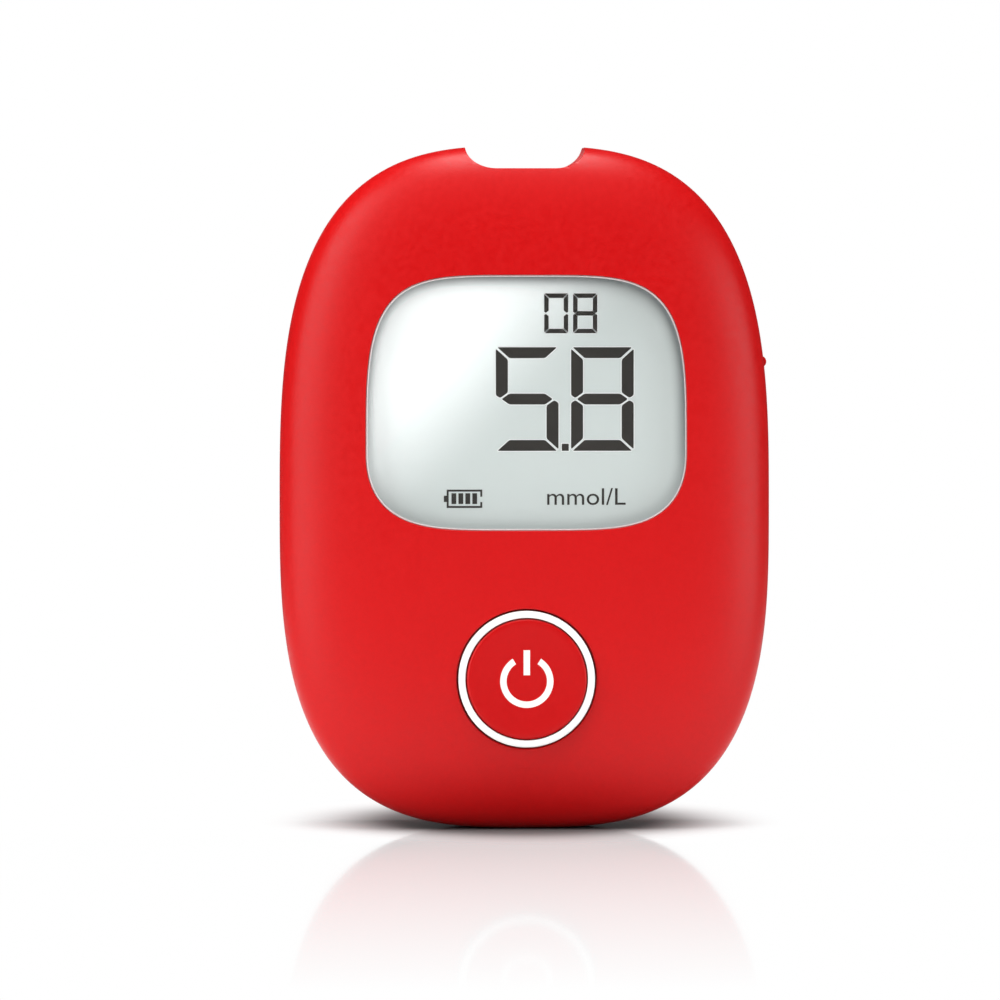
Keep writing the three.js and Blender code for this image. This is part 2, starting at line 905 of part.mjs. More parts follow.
function displayTray() {
  const halfWidth = panelHalfWidth + snug;
  const low = panelBottom - snug;
  const high = panelTop + snug;
  const cellPocket = block([-halfWidth, halfWidth], [trayFrontY - overrun, panelBackY], [low, high]);
  const lightPocket = block(
    [-halfWidth + reflectorMargin, halfWidth - reflectorMargin],
    [trayFrontY, boardFrontY - trayFloor],
    [panelBottom + reflectorFoot - snug, high - reflectorMargin],
  );
  const stripSlotCut = block(
    [-zebraHalfWidth - fit, zebraHalfWidth + fit],
    [trayFrontY, boardFrontY + overrun],
    [panelBottom + zebraFoot - snug, panelBottom + zebraFoot + zebraHeight + snug],
  );
  return cut(plate(trayOutline(0), trayFrontY, boardFrontY), cellPocket, lightPocket, stripSlotCut);
}

function display() {
  const cell = block(
    [-panelHalfWidth, panelHalfWidth],
    [panelFrontY, panelBackY],
    [panelBottom, panelTop],
  );
  const reflectorHalfWidth = panelHalfWidth - reflectorMargin;
  const reflectorBackY = boardFrontY - trayFloor;
  const reflector = block(
    [-reflectorHalfWidth, reflectorHalfWidth],
    [reflectorBackY - reflectorThickness, reflectorBackY],
    [panelBottom + reflectorFoot, panelTop - reflectorMargin],
  );
  const zebra = block(
    [-zebraHalfWidth, zebraHalfWidth],
    [panelBackY, boardFrontY],
    [panelBottom + zebraFoot, panelBottom + zebraFoot + zebraHeight],
  );
  const adhesive = windowRing(adhesiveInner, adhesiveOuter, lensSeatY, flangeFrontY);
  const gasket = windowRing(gasketInner, gasketOuter, lensBackY, panelFrontY);
  return group(
    lens(),
    piece('lens_adhesive', adhesive, finish(0xe6e6e2, 0.6, 0)),
    piece('lcd_gasket', gasket, finish(0x4a4d50, 0.9, 0)),
    piece('lcd_panel', cell, finish(0xd9e0de, 0.2, 0)),
    piece('lcd_tray', displayTray(), whitePlastic()),
    piece('lcd_reflector', reflector, finish(0xffffff, 0.35, 0)),
    piece('zebra_strip', zebra, finish(0xd58aa0, 0.8, 0)),
  );
}

// Key

// A hollow cap: a disc and a step for the ring in front, a flange that holds it in the housing,
// and a stem that reaches the switch.
function keyCap() {
  const flangeSeatY = -keyFlangeSeat + fit;
  const flangeBackY = flangeSeatY + keyFlangeThickness;
  const ringSeatY = keyFaceY + ringDepth;
  const skinY = keyFaceY + keySkin;
  const discRadius = ringInnerRadius - snug;
  const stemEndY = plungerFrontY - fit;
  return turned([
    [0, keyFaceY + keyDish],
    [discRadius - keyRound, keyFaceY],
    [discRadius, keyFaceY + keyRound],
    [discRadius, ringSeatY],
    [ringOuterRadius, ringSeatY],
    [ringOuterRadius, flangeSeatY],
    [keyFlangeRadius, flangeSeatY],
    [keyFlangeRadius, flangeBackY],
    [keyHollowRadius, flangeBackY],
    [keyHollowRadius, skinY],
    [keyStemRadius, skinY],
    [keyStemRadius, stemEndY],
    [0, stemEndY],
  ]);
}

function keyRing() {
  const seat = keyFaceY + ringDepth;
  return turned([
    [ringInnerRadius, seat],
    [ringInnerRadius, keyFaceY + ringRound],
    [ringInnerRadius + ringRound, keyFaceY],
    [ringOuterRadius - ringRound, keyFaceY],
    [ringOuterRadius, keyFaceY + ringRound],
    [ringOuterRadius, seat],
    [ringInnerRadius, seat],
  ]);
}

function keyAndSwitch() {
  const boreFloorY = boardFrontY - switchFloor;
  const switchOutline = roundedBlock(
    -switchHalfWidth,
    switchHalfWidth,
    -switchHalfWidth,
    switchHalfWidth,
    switchCorner,
  );
  const switchBody = cut(
    plate(switchOutline, switchFrontY, boardFrontY),
    peg(plungerRadius + fit, switchFrontY - overrun, boreFloorY, 0, 0),
  );
  const plunger = peg(plungerRadius, plungerFrontY, boreFloorY - keyTravel - snug, 0, 0);
  const place = [0, 0, keyZ];
  return group(
    piece('key_cap', keyCap(), redPlastic(), place),
    piece('key_ring', keyRing(), whitePlastic(), place),
    piece('switch_body', switchBody, blackPlastic(), place),
    piece('switch_plunger', plunger, whitePlastic(), place),
  );
}

// Strip connector

function grooveCutter(index) {
  const x = (index - (contactCount - 1) / 2) * contactPitch;
  return block(
    [x - contactGroove / 2, x + contactGroove / 2],
    [boardBackY - overrun, stripFrontY + stripSlot / 2],
    [portBottom - overrun, portBottom + grooveHeight],
  );
}

function stripPort() {
  const shoulder = notchFloor - wall - fit;
  const nose = block(
    [-noseHalfWidth, noseHalfWidth],
    [stripFrontY - noseWall, stripBackY + noseWall],
    [shoulder - overrun, notchFloor - noseShy],
  );
  const base = block(
    [-portHalfWidth, portHalfWidth],
    [boardBackY, stripBackY + portRoof],
    [portBottom, shoulder],
  );
  const channel = block(
    [-stripHalfWidth, stripHalfWidth],
    [stripFrontY, stripBackY],
    [portBottom - overrun, notchFloor + overrun],
  );
  const top = notchFloor - noseShy;
  const mouth = flaredMouth(top);
  const grooves = [];
  for (let index = 0; index < contactCount; index += 1) {
    grooves.push(grooveCutter(index));
  }
  return cut(join(base, nose), channel, mouth, ...grooves);
}

// The slot widens upwards to guide the strip in.
function flaredMouth(top) {
  const profile = [
    [stripFrontY, top - mouthDepth],
    [stripBackY, top - mouthDepth],
    [stripBackY + mouthFlare, top + snug],
    [stripFrontY - mouthFlare, top + snug],
  ];
  return crossPlate(profile, 2 * stripHalfWidth);
}

// A leaf spring: its foot lies on the board, and its crest reaches towards the strip.
function contactLeaf() {
  const footY = boardBackY;
  const crestY = stripFrontY - contactShy;
  return crossPlate([
    [footY, portBottom + contactShy],
    [footY + contactThickness, portBottom + contactShy],
    [footY + contactThickness, portBottom + contactFoot],
    [crestY, portBottom + contactCrest],
    [crestY - contactTipDrop + contactThickness, portBottom + contactTip],
    [crestY - contactTipDrop, portBottom + contactTip],
    [crestY - contactThickness, portBottom + contactCrest],
    [footY, portBottom + contactFoot],
  ], contactWidth);
}

function connector() {
  const leaves = [];
  for (let index = 0; index < contactCount; index += 1) {
    const x = (index - (contactCount - 1) / 2) * contactPitch;
    leaves.push(piece(`strip_contact_${index + 1}`, contactLeaf(), gold(), [x, 0, 0]));
  }
  return group(piece('strip_port', stripPort(), greyPlastic()), ...leaves);
}

// Ejector

function ejectSlider() {
  const joinX = shutterX + shutterThickness / 2;
  const nubDepth = [nubY - nubHalfDepth, nubY + nubHalfDepth];
  const shutter = block(
    [shutterX, shutterRight],
    [armFrontY, nubY + shutterHalfDepth],
    [shutterFoot, shutterTop],
  );
  const neck = block(
    [joinX, nubEnd - nubHeight / 2],
    nubDepth,
    [nubZ - nubHeight / 2, nubZ + nubHeight / 2],
  );
  const nub = peg(nubHeight / 2, ...nubDepth, nubEnd - nubHeight / 2, nubZ, roundSides / 2);
  const riser = join(
    block([riserX, joinX], [armFrontY, armBackY], [armBottom - riserHeight, shutterTop]),
    block([riserX, riserEnd], [armFrontY, armBackY], [armBottom - riserHeight, armTop]),
  );
  const arm = block([-fingerHalfWidth, riserEnd], [armFrontY, armBackY], [armBottom, armTop]);
  const fingerFrontY = stripY - fingerThickness / 2;
  const fingerBackY = fingerFrontY + fingerThickness;
  const fingerX = [-fingerHalfWidth, fingerHalfWidth];
  const finger = join(
    block(fingerX, [armFrontY, fingerBackY], [armBottom, armTop]),
    block(fingerX, [fingerFrontY, fingerBackY], [armBottom, portBottom + fingerReach]),
  );
  const lug = block(
    [lugX, joinX],
    [nubY - shutterHalfDepth, springY + springRadius + fit],
    [shutterFoot, shutterFoot + lugThickness],
  );
  return join(shutter, neck, nub, riser, arm, finger, lug);
}

function ejector() {
  const low = shutterFoot + lugThickness + fit + springWire;
  const high = bracketBottom - fit - springWire;
  const path = new Helix(springRadius, springRadius, low, high, springTurns);
  return group(
    piece('eject_slider', ejectSlider(), redPlastic()),
    piece('eject_spring', coil(path, springWire), steel(), [springX, springY, 0]),
  );
}

// Power

function batteryCell() {
  const solid = turned([
    [0, 0],
    [cellRadius - cellEdge, 0],
    [cellRadius, cellEdge],
    [cellRadius, cellLength - cellEdge],
    [cellRadius - cellEdge, cellLength],
    [nubRadius, cellLength],
    [nubRadius, cellLength + nubLength],
    [0, cellLength + nubLength],
  ], roundSides / 2);
  const geometry = toGeometry(solid);
  geometry.rotateX(Math.PI / 2);
  return geometry;
}

function contactPlateAt(x, low) {
  return block(
    [x - contactPlateHalfWidth, x + contactPlateHalfWidth],
    [cellY - contactPlateHalfWidth, cellY + contactPlateRise],
    [low, low + contactPlate],
  );
}

function plateTail(x, low) {
  return block(
    [x - tailHalfWidth, x + tailHalfWidth],
    [boardBackY, cellY - contactPlateHalfWidth + contactPlate],
    [low, low + contactPlate],
  );
}

// A conical spring for the flat end of a cell. It stands on a plate and points along the way given.
function cellSpringAt(x, start, way) {
  const end = start + way * (cellSpring - cellSpringWire);
  const sunk = start + way * cellSpringWire / 2;
  const solid = coil(
    new Helix(cellSpringBase, cellSpringTip, sunk, end, cellSpringTurns),
    cellSpringWire,
  );
  return solid.translate([x, cellY, 0]);
}

function power() {
  const left = -cellSpacing / 2;
  const right = cellSpacing / 2;
  const roofPlate = bayRoof - contactPlate;
  const floorPlateTop = bayFloor + contactPlate;

  const bridge = join(
    block(
      [left - contactPlateHalfWidth, right + contactPlateHalfWidth],
      [cellY - contactPlateHalfWidth, cellY + contactPlateRise],
      [bayFloor, floorPlateTop],
    ),
    cellSpringAt(left, floorPlateTop, 1),
  );
  const plus = join(contactPlateAt(left, roofPlate), plateTail(left, roofPlate));
  const minus = join(
    contactPlateAt(right, roofPlate),
    plateTail(right, roofPlate),
    cellSpringAt(right, roofPlate, -1),
  );

  const cells = sides.map((side, index) => {
    const mesh = new THREE.Mesh(batteryCell(), finish(0x3b5f8f, 0.35, 0.4));
    mesh.name = `battery_${index + 1}`;
    const upright = side < 0;
    mesh.rotation.x = upright ? 0 : Math.PI;
    const total = cellLength + nubLength;
    const z = upright ? roofPlate - fit - total : floorPlateTop + fit + total;
    mesh.position.set(side * cellSpacing / 2, cellY, z);
    return mesh;
  });
  return group(
    ...cells,
    piece('battery_bridge', bridge, steel()),
    piece('battery_plus_plate', plus, steel()),
    piece('battery_minus_spring', minus, steel()),
  );
}

// Board and the parts on it

// The board's edge is cut back round the housing's screw bosses.
function board() {
  const top = plate(outline(bodyForm, -boardInset, hiddenSteps), boardFrontY, boardBackY);
  const cutDepth = [boardFrontY - overrun, boardBackY + overrun];
  const radius = bossRadius + fit;
  const bossClearance = bosses.map(([x, z]) => {
    const edge = Math.sign(x) * bodyHalfWidth;
    return join(
      peg(radius, ...cutDepth, x, z),
      block([Math.min(x, edge), Math.max(x, edge)], cutDepth, [z - radius, z + radius]),
    );
  });
  const screwHoles = posts.map(([x, z]) => (
    peg(boardHoleRadius, ...cutDepth, x, z)
  ));
  return cut(top, notchCutter(wall + fit), ...bossClearance, ...screwHoles);
}

function chip(width, height, leads) {
  const front = boardBackY + chipStand;
  const body = plate(
    roundedBlock(-width / 2, width / 2, -height / 2, height / 2, partBevel),
    front,
    front + chipThickness,
  );
  const legs = [];
  for (const side of sides) {
    for (let index = 0; index < leads; index += 1) {
      const z = (index - (leads - 1) / 2) * leadPitch;
      const inner = side * (width / 2 - leadThickness);
      const outer = side * (width / 2 + leadReach);
      legs.push(block(
        [Math.min(inner, outer), Math.max(inner, outer)],
        [boardBackY, boardBackY + leadThickness],
        [z - leadWidth / 2, z + leadWidth / 2],
      ));
    }
  }
  return join(body, ...legs);
}

function boxPart(halfWidth, halfHeight, thickness) {
  const points = roundedBlock(-halfWidth, halfWidth, -halfHeight, halfHeight, halfHeight / 2);
  return plate(points, boardBackY, boardBackY + thickness);
}

function electronics() {
  const buzzer = cut(
    peg(buzzerRadius, boardBackY, boardBackY + buzzerThickness, 0, 0, roundSides),
    peg(buzzerHoleRadius, boardBackY + buzzerThickness - buzzerHoleDepth, backDepth, 0, 0),
  );
  const processorLeads = Math.floor(processorSize / leadPitch) - 1;
  const memoryLeads = Math.floor(memoryHeight / leadPitch) - 1;
  const amplifierLeads = Math.floor(amplifierHeight / leadPitch);
  return group(
    piece('main_board', board(), finish(0x1f6b3f, 0.5, 0)),
    piece(
      'processor_chip',
      chip(processorSize, processorSize, processorLeads),
      blackPlastic(),
      [-columnX, 0, processorZ],
    ),
    piece(
      'memory_chip',
      chip(memoryWidth, memoryHeight, memoryLeads),
      blackPlastic(),
      [-columnX, 0, memoryZ],
    ),
    piece(
      'amplifier_chip',
      chip(amplifierWidth, amplifierHeight, amplifierLeads),
      blackPlastic(),
      [-amplifierX, 0, bayRoof + bayWall + amplifierRise],
    ),
    piece(
      'crystal',
      boxPart(crystalHalfWidth, crystalHalfHeight, crystalThickness),
      steel(),
      [-columnX, 0, processorZ + crystalRise],
    ),
    piece(
      'capacitor',
      boxPart(capacitorHalfWidth, capacitorHalfHeight, capacitorThickness),
      finish(0xc9a14a, 0.5, 0),
      [columnX, 0, capacitorZ],
    ),
    piece('buzzer', buzzer, blackPlastic(), [columnX, 0, buzzerZ]),
  );
}

// Screws: a domed head at the back, a cross recess, and a shaft that points to the front

function screw(radius, headRadius, head, length) {
  const solid = turned([
    [0, -length],
    [radius / 2, -length],
    [radius, -length + radius],
    [radius, 0],
    [headRadius, 0],
    [headRadius, head / 2],
    [headRadius * Math.SQRT1_2, head],
    [0, head],
  ], pegSides);
  const floor = head - driveDepth;
  return cut(
    solid,
    block([-driveReach, driveReach], [floor, head + overrun], [-driveWidth / 2, driveWidth / 2]),
    block([-driveWidth / 2, driveWidth / 2], [floor, head + overrun], [-driveReach, driveReach]),
  );
}

function screws() {
  const holder = new THREE.Group();
  const caseScrew = screw(caseScrewRadius, caseScrewHeadRadius, caseScrewHead, caseScrewLength);
  const boardScrew = screw(boardScrewRadius, boardScrewHeadRadius, boardScrewHead, boardScrewLength);
  bosses.forEach(([x, z], index) => {
    holder.add(piece(`case_screw_${index + 1}`, caseScrew, steel(), [x, counterboreY, z]));
  });
  posts.forEach(([x, z], index) => {
    holder.add(piece(`board_screw_${index + 1}`, boardScrew, steel(), [x, boardBackY, z]));
  });
  return holder;
}

const meter = group(
  housing(),
  display(),
  keyAndSwitch(),
  connector(),
  ejector(),
  power(),
  electronics(),
  screws(),
);

export default meter;
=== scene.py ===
# The looks of a hand-held blood glucose meter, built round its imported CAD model.
# Sizes are in millimetres and become metres where a mesh is made.

import json
import math

import bmesh
import bpy
import numpy as np
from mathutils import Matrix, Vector


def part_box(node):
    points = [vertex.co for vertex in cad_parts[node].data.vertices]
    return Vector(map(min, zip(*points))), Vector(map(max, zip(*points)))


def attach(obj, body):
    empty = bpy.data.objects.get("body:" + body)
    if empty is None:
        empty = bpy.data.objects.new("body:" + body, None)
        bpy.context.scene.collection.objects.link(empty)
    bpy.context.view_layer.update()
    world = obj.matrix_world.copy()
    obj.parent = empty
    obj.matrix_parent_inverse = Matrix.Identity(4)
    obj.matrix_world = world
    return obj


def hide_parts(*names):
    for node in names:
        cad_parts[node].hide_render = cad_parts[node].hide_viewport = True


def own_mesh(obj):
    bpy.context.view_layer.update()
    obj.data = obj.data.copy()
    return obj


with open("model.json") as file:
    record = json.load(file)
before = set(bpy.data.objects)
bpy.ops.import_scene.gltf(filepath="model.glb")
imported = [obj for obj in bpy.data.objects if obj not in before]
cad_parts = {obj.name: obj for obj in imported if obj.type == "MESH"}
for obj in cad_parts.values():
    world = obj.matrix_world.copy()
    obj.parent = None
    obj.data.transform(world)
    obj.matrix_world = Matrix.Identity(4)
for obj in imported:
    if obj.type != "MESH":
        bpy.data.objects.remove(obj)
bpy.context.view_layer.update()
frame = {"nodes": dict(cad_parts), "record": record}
nodes = frame["nodes"]

MM = 0.001

# Numbers of steps round curves
OUTLINE_STEPS = 240
HIDDEN_STEPS = 64
CAVITY_STEPS = 8
ROUND_STEPS = 160
TURNED_STEPS = 96
BORE_STEPS = 64
TUBE_STEPS = 48
PEG_STEPS = 32
CORNER_STEPS = 12
GROOVE_STEPS = 8
NOTCH_STEPS = 28
DISH_STEPS = 12
DOME_STEPS = 8
FILLET_STEPS = 6
CELL_EDGE_STEPS = 4

# Edges. Angles are in degrees, and the distance within which points are one is in metres.
FILLET_START = 24
SHARP = 32
FACE_WEIGHT = 60
MERGE_DISTANCE = 1e-7
BEVEL = 0.12
BEVEL_STEPS = 3
BEVEL_ANGLE = 40

# Clearances, the overrun of cuts, and the radius that stands for a point on an axis
FIT = 0.3
SNUG = 0.15
OVERRUN = 1.0
PINHOLE = 1e-4

# Housing. Its outline is a power curve, and so is the section of each half, which rolls in from the side
# land towards a depth. The back ends in a flat, and the front curves up to its middle. FLAT is the share
# of the curve that the steps of the CAD outline reach, and HAIR keeps the crown inside them.
BODY_HALF_WIDTH = 30.5
FOOT_HEIGHT = 40.1
CAD_OUTLINE_STEPS = 60
BODY_POWER = 3.0
FLAT = math.cos(math.pi / CAD_OUTLINE_STEPS) ** (2 / BODY_POWER)
BODY_HALF = BODY_HALF_WIDTH * FLAT
BELT_LEVEL = FOOT_HEIGHT * FLAT
CROWN_TOP = 85.0
HAIR = 0.006
CROWN_HEIGHT = (CROWN_TOP - BELT_LEVEL) * FLAT - HAIR
POWERS = dict(side=BODY_POWER, up=BODY_POWER, down=BODY_POWER)
BODY = dict(half=BODY_HALF, level=BELT_LEVEL, top=CROWN_HEIGHT, bottom=BELT_LEVEL, **POWERS)
FRONT_DEPTH = 11.1
BACK_DEPTH = 11.5
FRONT = dict(side=-1, depth=FRONT_DEPTH, roll=BODY_HALF, power=3.2, flat=False, steps=40)
BACK = dict(side=1, depth=BACK_DEPTH, roll=9.5, power=2.2, flat=True, steps=24)
SIDE_LAND = 3.1
WALL = 2.0
HALF_GAP = 0.15
PARTING_EDGE = 0.12
LIP = 0.8
LIP_HEIGHT = 1.5
DEEP_FRONT = -(FRONT_DEPTH + OVERRUN)
DEEP_BACK = BACK_DEPTH + OVERRUN

# Notch
NOTCH_FLOOR = 82.1
NOTCH_FLOOR_HALF_WIDTH = 3.6
NOTCH_SIDE_RUN = 3.85
NOTCH_SIDE_HEIGHT = 2.7
NOTCH_DEPTH = 2.9
NOTCH_EDGE = 0.05
NOTCH_RIM_TURN = 80

# Window
WINDOW = dict(half=20.0, level=47.0, top=22.0, bottom=9.85, side=4.6, up=3.8, down=2.3)
WINDOW_EDGE = 0.1
WINDOW_TRIM = 0.1
LENS_SINK = 0.08
LENS_GAP = WINDOW_TRIM + 0.04
LENS_EDGE = 0.2
LENS_STEPS = 14
LENS_SEAT_Y = -9.0
LENS_FLANGE = 1.6
FLANGE_FRONT_Y = -8.8
LENS_BACK_Y = -8.0
PANEL_FRONT_Y = -7.3
TRAY_CORNER = 2.2
BOARD_FRONT_Y = -3.9

# Key
KEY_Z = 18.9
KEY_HOLE = 8.67
KEY_HOLE_END_Y = -8.0
KEY_EDGE = 0.25
KEY_FACE_Y = -11.5
KEY_DISH = 0.15
RING_OUTER = 8.45
RING_INNER = 7.59
RING_SEAT_Y = KEY_FACE_Y + 1.4
RING_ROUND = 0.14
KEY_ROUND = 0.3
KEY_RADIUS = RING_INNER - SNUG
DISH_RADIUS = KEY_RADIUS - KEY_ROUND
KEY_FLANGE = 9.72
KEY_FLANGE_SEAT = 9.0
KEY_FLANGE_THICKNESS = 0.7
KEY_HOLLOW = 6.6
KEY_SKIN = 1.7
KEY_STEM = 1.8
KEY_STEM_END = -6.9
COLLAR = 10.02
COLLAR_WALL = 1.0
COLLAR_ROOT_Y = -10.0
COLLAR_END_Y = -7.0

# Screws, and the bosses, posts and tubes that they hold
BOSS = 2.4
BOSS_HOLE = 1.0
BOSS_HOLE_END_Y = -4.9
LOW_BOSS_ROOT_Y = -9.0
HIGH_BOSS_ROOT_Y = -7.0
POST = 2.1
POST_ROOT_Y = -8.5
POST_HOLE = 0.95
POST_HOLE_DEPTH = 4.0
TUBE = 3.2
TUBE_HOLE = 1.15
COUNTERBORE = 2.1
COUNTERBORE_Y = 8.6
COUNTERBORE_EDGE = 0.2
SCREW_HEAD = 1.9
SCREW_HEAD_HEIGHT = 1.3
SCREW_SHANK = 1.1
SCREW_LENGTH = 12.5

# Opening for the strip connector, slot for the ejector's nub, and the ejector's spring and its bracket
PORT_HALF_WIDTH = 4.6
PORT_FRONT_Y = -2.2
PORT_BACK_Y = 1.2
SLOT_INNER_X = 25.4
SLOT_HALF_DEPTH = 1.7
SLOT_FOOT = 57.0
SLOT_TOP = 63.1
SPRING_X = 21.2
SPRING_Y = 1.6
SPRING_RADIUS = 1.2
SPRING_WIRE = 0.22
SPRING_TURNS = 8
BRACKET_HALF_WIDTH = 1.9
BRACKET_FRONT_Y = -1.0
BRACKET_FOOT = 64.3
BRACKET_THICKNESS = 1.0

# Battery bay and cells
BAY_HALF_WIDTH = 11.35
BAY_FLOOR = 16.0
BAY_ROOF = 64.0
BAY_FLOOR_Y = -1.35
BAY_WALL = 1.0
CONTACT_PLATE = 0.4
TAIL_HALF_WIDTH = 1.0
TAIL_FRONT_Y = -3.35
TAIL_BACK_Y = -0.35
RIB_HALF_WIDTH = 0.2
RIB_ROOT = 0.5
RIB_REACH = 2.2
CELL_X = 5.6
CELL_Y = 4.2
CELL_STAND = 2.8
CELL_BARE = 4.4

# Battery door
DOOR_HALF_WIDTH = 12.7
DOOR_FOOT = 13.8
DOOR_TOP = 65.2
DOOR_CORNER = 2.5
DOOR_EDGE = 0.2
DOOR_INNER_Y = 10.0
DOOR_MIDDLE_Y = (DOOR_INNER_Y + BACK_DEPTH) / 2
LEDGE_Y = DOOR_INNER_Y - FIT
LEDGE_THICKNESS = 1.4
LEDGE_WIDTH = 1.2
HOOK_X = 8.75
HOOK_HALF_WIDTH = 1.75
HOOK_FRONT_Y = 8.3
HOOK_THICKNESS = 1.1
HOOK_DROP = 1.6
HOOK_SWEEP = 0.9
LATCH_HALF_WIDTH = 3.0
LATCH_FRONT_Y = 8.2
LATCH_THICKNESS = 0.7
LATCH_BUMP = 0.2
GRIP_DROP = 4.5
GRIP_PITCH = 2.2


def box_mm(node):
    """Lowest and highest corner of a CAD node, in millimetres."""
    return [np.array(corner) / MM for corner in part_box(node)]


def middle_of(node):
    low, high = box_mm(node)
    return (low[0] + high[0]) / 2, (low[2] + high[2]) / 2


SCREWS = {number: middle_of(f"case_screw_{number}") for number in range(1, 5)}
BOSSES = sorted(SCREWS.values(), key=lambda place: place[1])
POSTS = [middle_of(f"board_screw_{number}") for number in range(1, 5)]
TRAY_LOW, TRAY_HIGH = box_mm("lcd_tray")


# Meshes


def placed(name, data):
    """An object of some data, in the scene."""
    made = bpy.data.objects.new(name, data)
    bpy.context.scene.collection.objects.link(made)
    return made


def to_mesh(name, points, faces):
    """A mesh object from points in millimetres and lists of point numbers."""
    mesh = bpy.data.meshes.new(name)
    mesh.from_pydata((np.asarray(points, float) * MM).tolist(), [], faces)
    mesh.validate()
    return placed(name, mesh)


def outward(made):
    """Turns a closed mesh's faces outward."""
    work = bmesh.new()
    work.from_mesh(made.data)
    bmesh.ops.recalc_face_normals(work, faces=work.faces)
    work.to_mesh(made.data)
    work.free()
    return made


def loft(name, rings, closed=False):
    """A solid through rings of equally many points, closed by a flat cap at each end or into itself."""
    rings = [np.asarray(r, float) for r in rings]
    count = len(rings[0])
    faces = []
    last = len(rings) if closed else len(rings) - 1
    for row in range(last):
        low, high = row * count, (row + 1) % len(rings) * count
        for step in range(count):
            after = (step + 1) % count
            faces.append((low + step, low + after, high + after, high + step))
    if not closed:
        faces.append(tuple(range(count)))
        faces.append(tuple(len(rings) * count - 1 - i for i in range(count)))
    return outward(to_mesh(name, np.concatenate(rings), faces))


def outline(form, grow, steps=OUTLINE_STEPS):
    angle = (np.arange(steps) + 0.5) / steps * 2 * np.pi
    across, along = np.cos(angle), np.sin(angle)
    height = np.where(along > 0, form["top"], form["bottom"]) + grow
    power = np.where(along > 0, form["up"], form["down"])
    x = np.sign(across) * (form["half"] + grow) * np.abs(across) ** (2 / form["side"])
    z = form["level"] + np.sign(along) * height * np.abs(along) ** (2 / power)
    return np.stack([x, z], 1)


def ring_at(points, y):
    """Points of x and z, set at a depth, which is one number or one for each point."""
    depth = np.broadcast_to(np.asarray(y, float), (len(points),))
    return np.stack([points[:, 0], depth, points[:, 1]], 1)


def plate(name, points, front, back):
    return loft(name, [ring_at(points, front), ring_at(points, back)])


def block(name, x, y, z):
    corners = np.array([(x[0], z[0]), (x[1], z[0]), (x[1], z[1]), (x[0], z[1])])
    return plate(name, corners, y[0], y[1])


def circle(radius, x=0.0, z=0.0, steps=ROUND_STEPS):
    angle = np.arange(steps) / steps * 2 * np.pi
    return np.stack([x + radius * np.cos(angle), z + radius * np.sin(angle)], 1)


def peg(name, radius, front, back, x, z, steps=PEG_STEPS):
    return plate(name, circle(radius, x, z, steps), front, back)


def rounded(left, right, low, high, radius, steps=CORNER_STEPS):
    points = []
    for x, z, start in (
        (right - radius, low + radius, -90),
        (right - radius, high - radius, 0),
        (left + radius, high - radius, 90),
        (left + radius, low + radius, 180),
    ):
        for step in range(steps + 1):
            angle = math.radians(start + 90 * step / steps)
            points.append((x + radius * math.cos(angle), z + radius * math.sin(angle)))
    return np.array(points)


def around(middle, half):
    return middle - half, middle + half


def quarter(steps=FILLET_STEPS):
    """Sine and cosine at equal steps of a quarter turn."""
    angles = [math.pi / 2 * step / steps for step in range(steps + 1)]
    return [(math.sin(angle), math.cos(angle)) for angle in angles]


def turned(name, profile, x=0.0, z=0.0, steps=ROUND_STEPS):
    """A turned solid about Y from points of radius and Y, the first and last of them on the axis."""
    return loft(name, [ring_at(circle(max(r, PINHOLE), x, z, steps), y) for r, y in profile])


def carve(name, base, minus=(), plus=()):
    """base joined with some solids and cut by others. All of them but the result are used up."""
    solids = [(o, "UNION") for o in plus] + [(o, "DIFFERENCE") for o in minus]
    for other, operation in solids:
        step = base.modifiers.new(operation, "BOOLEAN")
        step.operation = operation
        step.solver = "MANIFOLD"
        step.object = other
    bpy.context.view_layer.update()
    evaluated = base.evaluated_get(bpy.context.evaluated_depsgraph_get())
    mesh = bpy.data.meshes.new_from_object(evaluated)
    mesh.name = name
    for used in [base] + [o for o, _ in solids]:
        old = used.data
        bpy.data.objects.remove(used)
        bpy.data.meshes.remove(old)
    return placed(name, mesh)


def shade(made):
    """Smooth faces with sharp edges where the surface really turns."""
    work = bmesh.new()
    work.from_mesh(made.data)
    bmesh.ops.remove_doubles(work, verts=work.verts, dist=MERGE_DISTANCE)
    limit = math.radians(SHARP)
    for face in work.faces:
        face.smooth = True
    for edge in work.edges:
        edge.smooth = len(edge.link_faces) == 2 and edge.calc_face_angle(0) < limit
    work.to_mesh(made.data)
    work.free()
    weighted = made.modifiers.new("normals", "WEIGHTED_NORMAL")
    weighted.keep_sharp = True
    weighted.weight = FACE_WEIGHT
    return made


# Form of the housing


def inset_of(points):
    """How far inside the body's outline each point lies, measured as the section's rings are."""
    halvings, least = 50, 1e-6
    x, z = np.abs(points[:, 0]), points[:, 1] - BELT_LEVEL
    reach = np.where(z > 0, CROWN_HEIGHT, BELT_LEVEL)
    low, high = np.zeros(len(points)), np.full(len(points), BODY_HALF - least)
    for _ in range(halvings):
        middle = (low + high) / 2
        inside = (x / (BODY_HALF - middle)) ** BODY_POWER
        inside = inside + (np.abs(z) / (reach - middle)) ** BODY_POWER < 1
        low, high = np.where(inside, middle, low), np.where(inside, high, middle)
    return low


def skin_y(half, points):
    """Depth of the housing's surface at some points of x and z."""
    share = np.clip(1 - inset_of(points) / half["roll"], 0, 1)
    rise = half["depth"] - SIDE_LAND
    return half["side"] * (SIDE_LAND + rise * (1 - share ** half["power"]) ** (1 / half["power"]))


def front_y(points):
    return skin_y(FRONT, points)


def back_y(points):
    return skin_y(BACK, points)


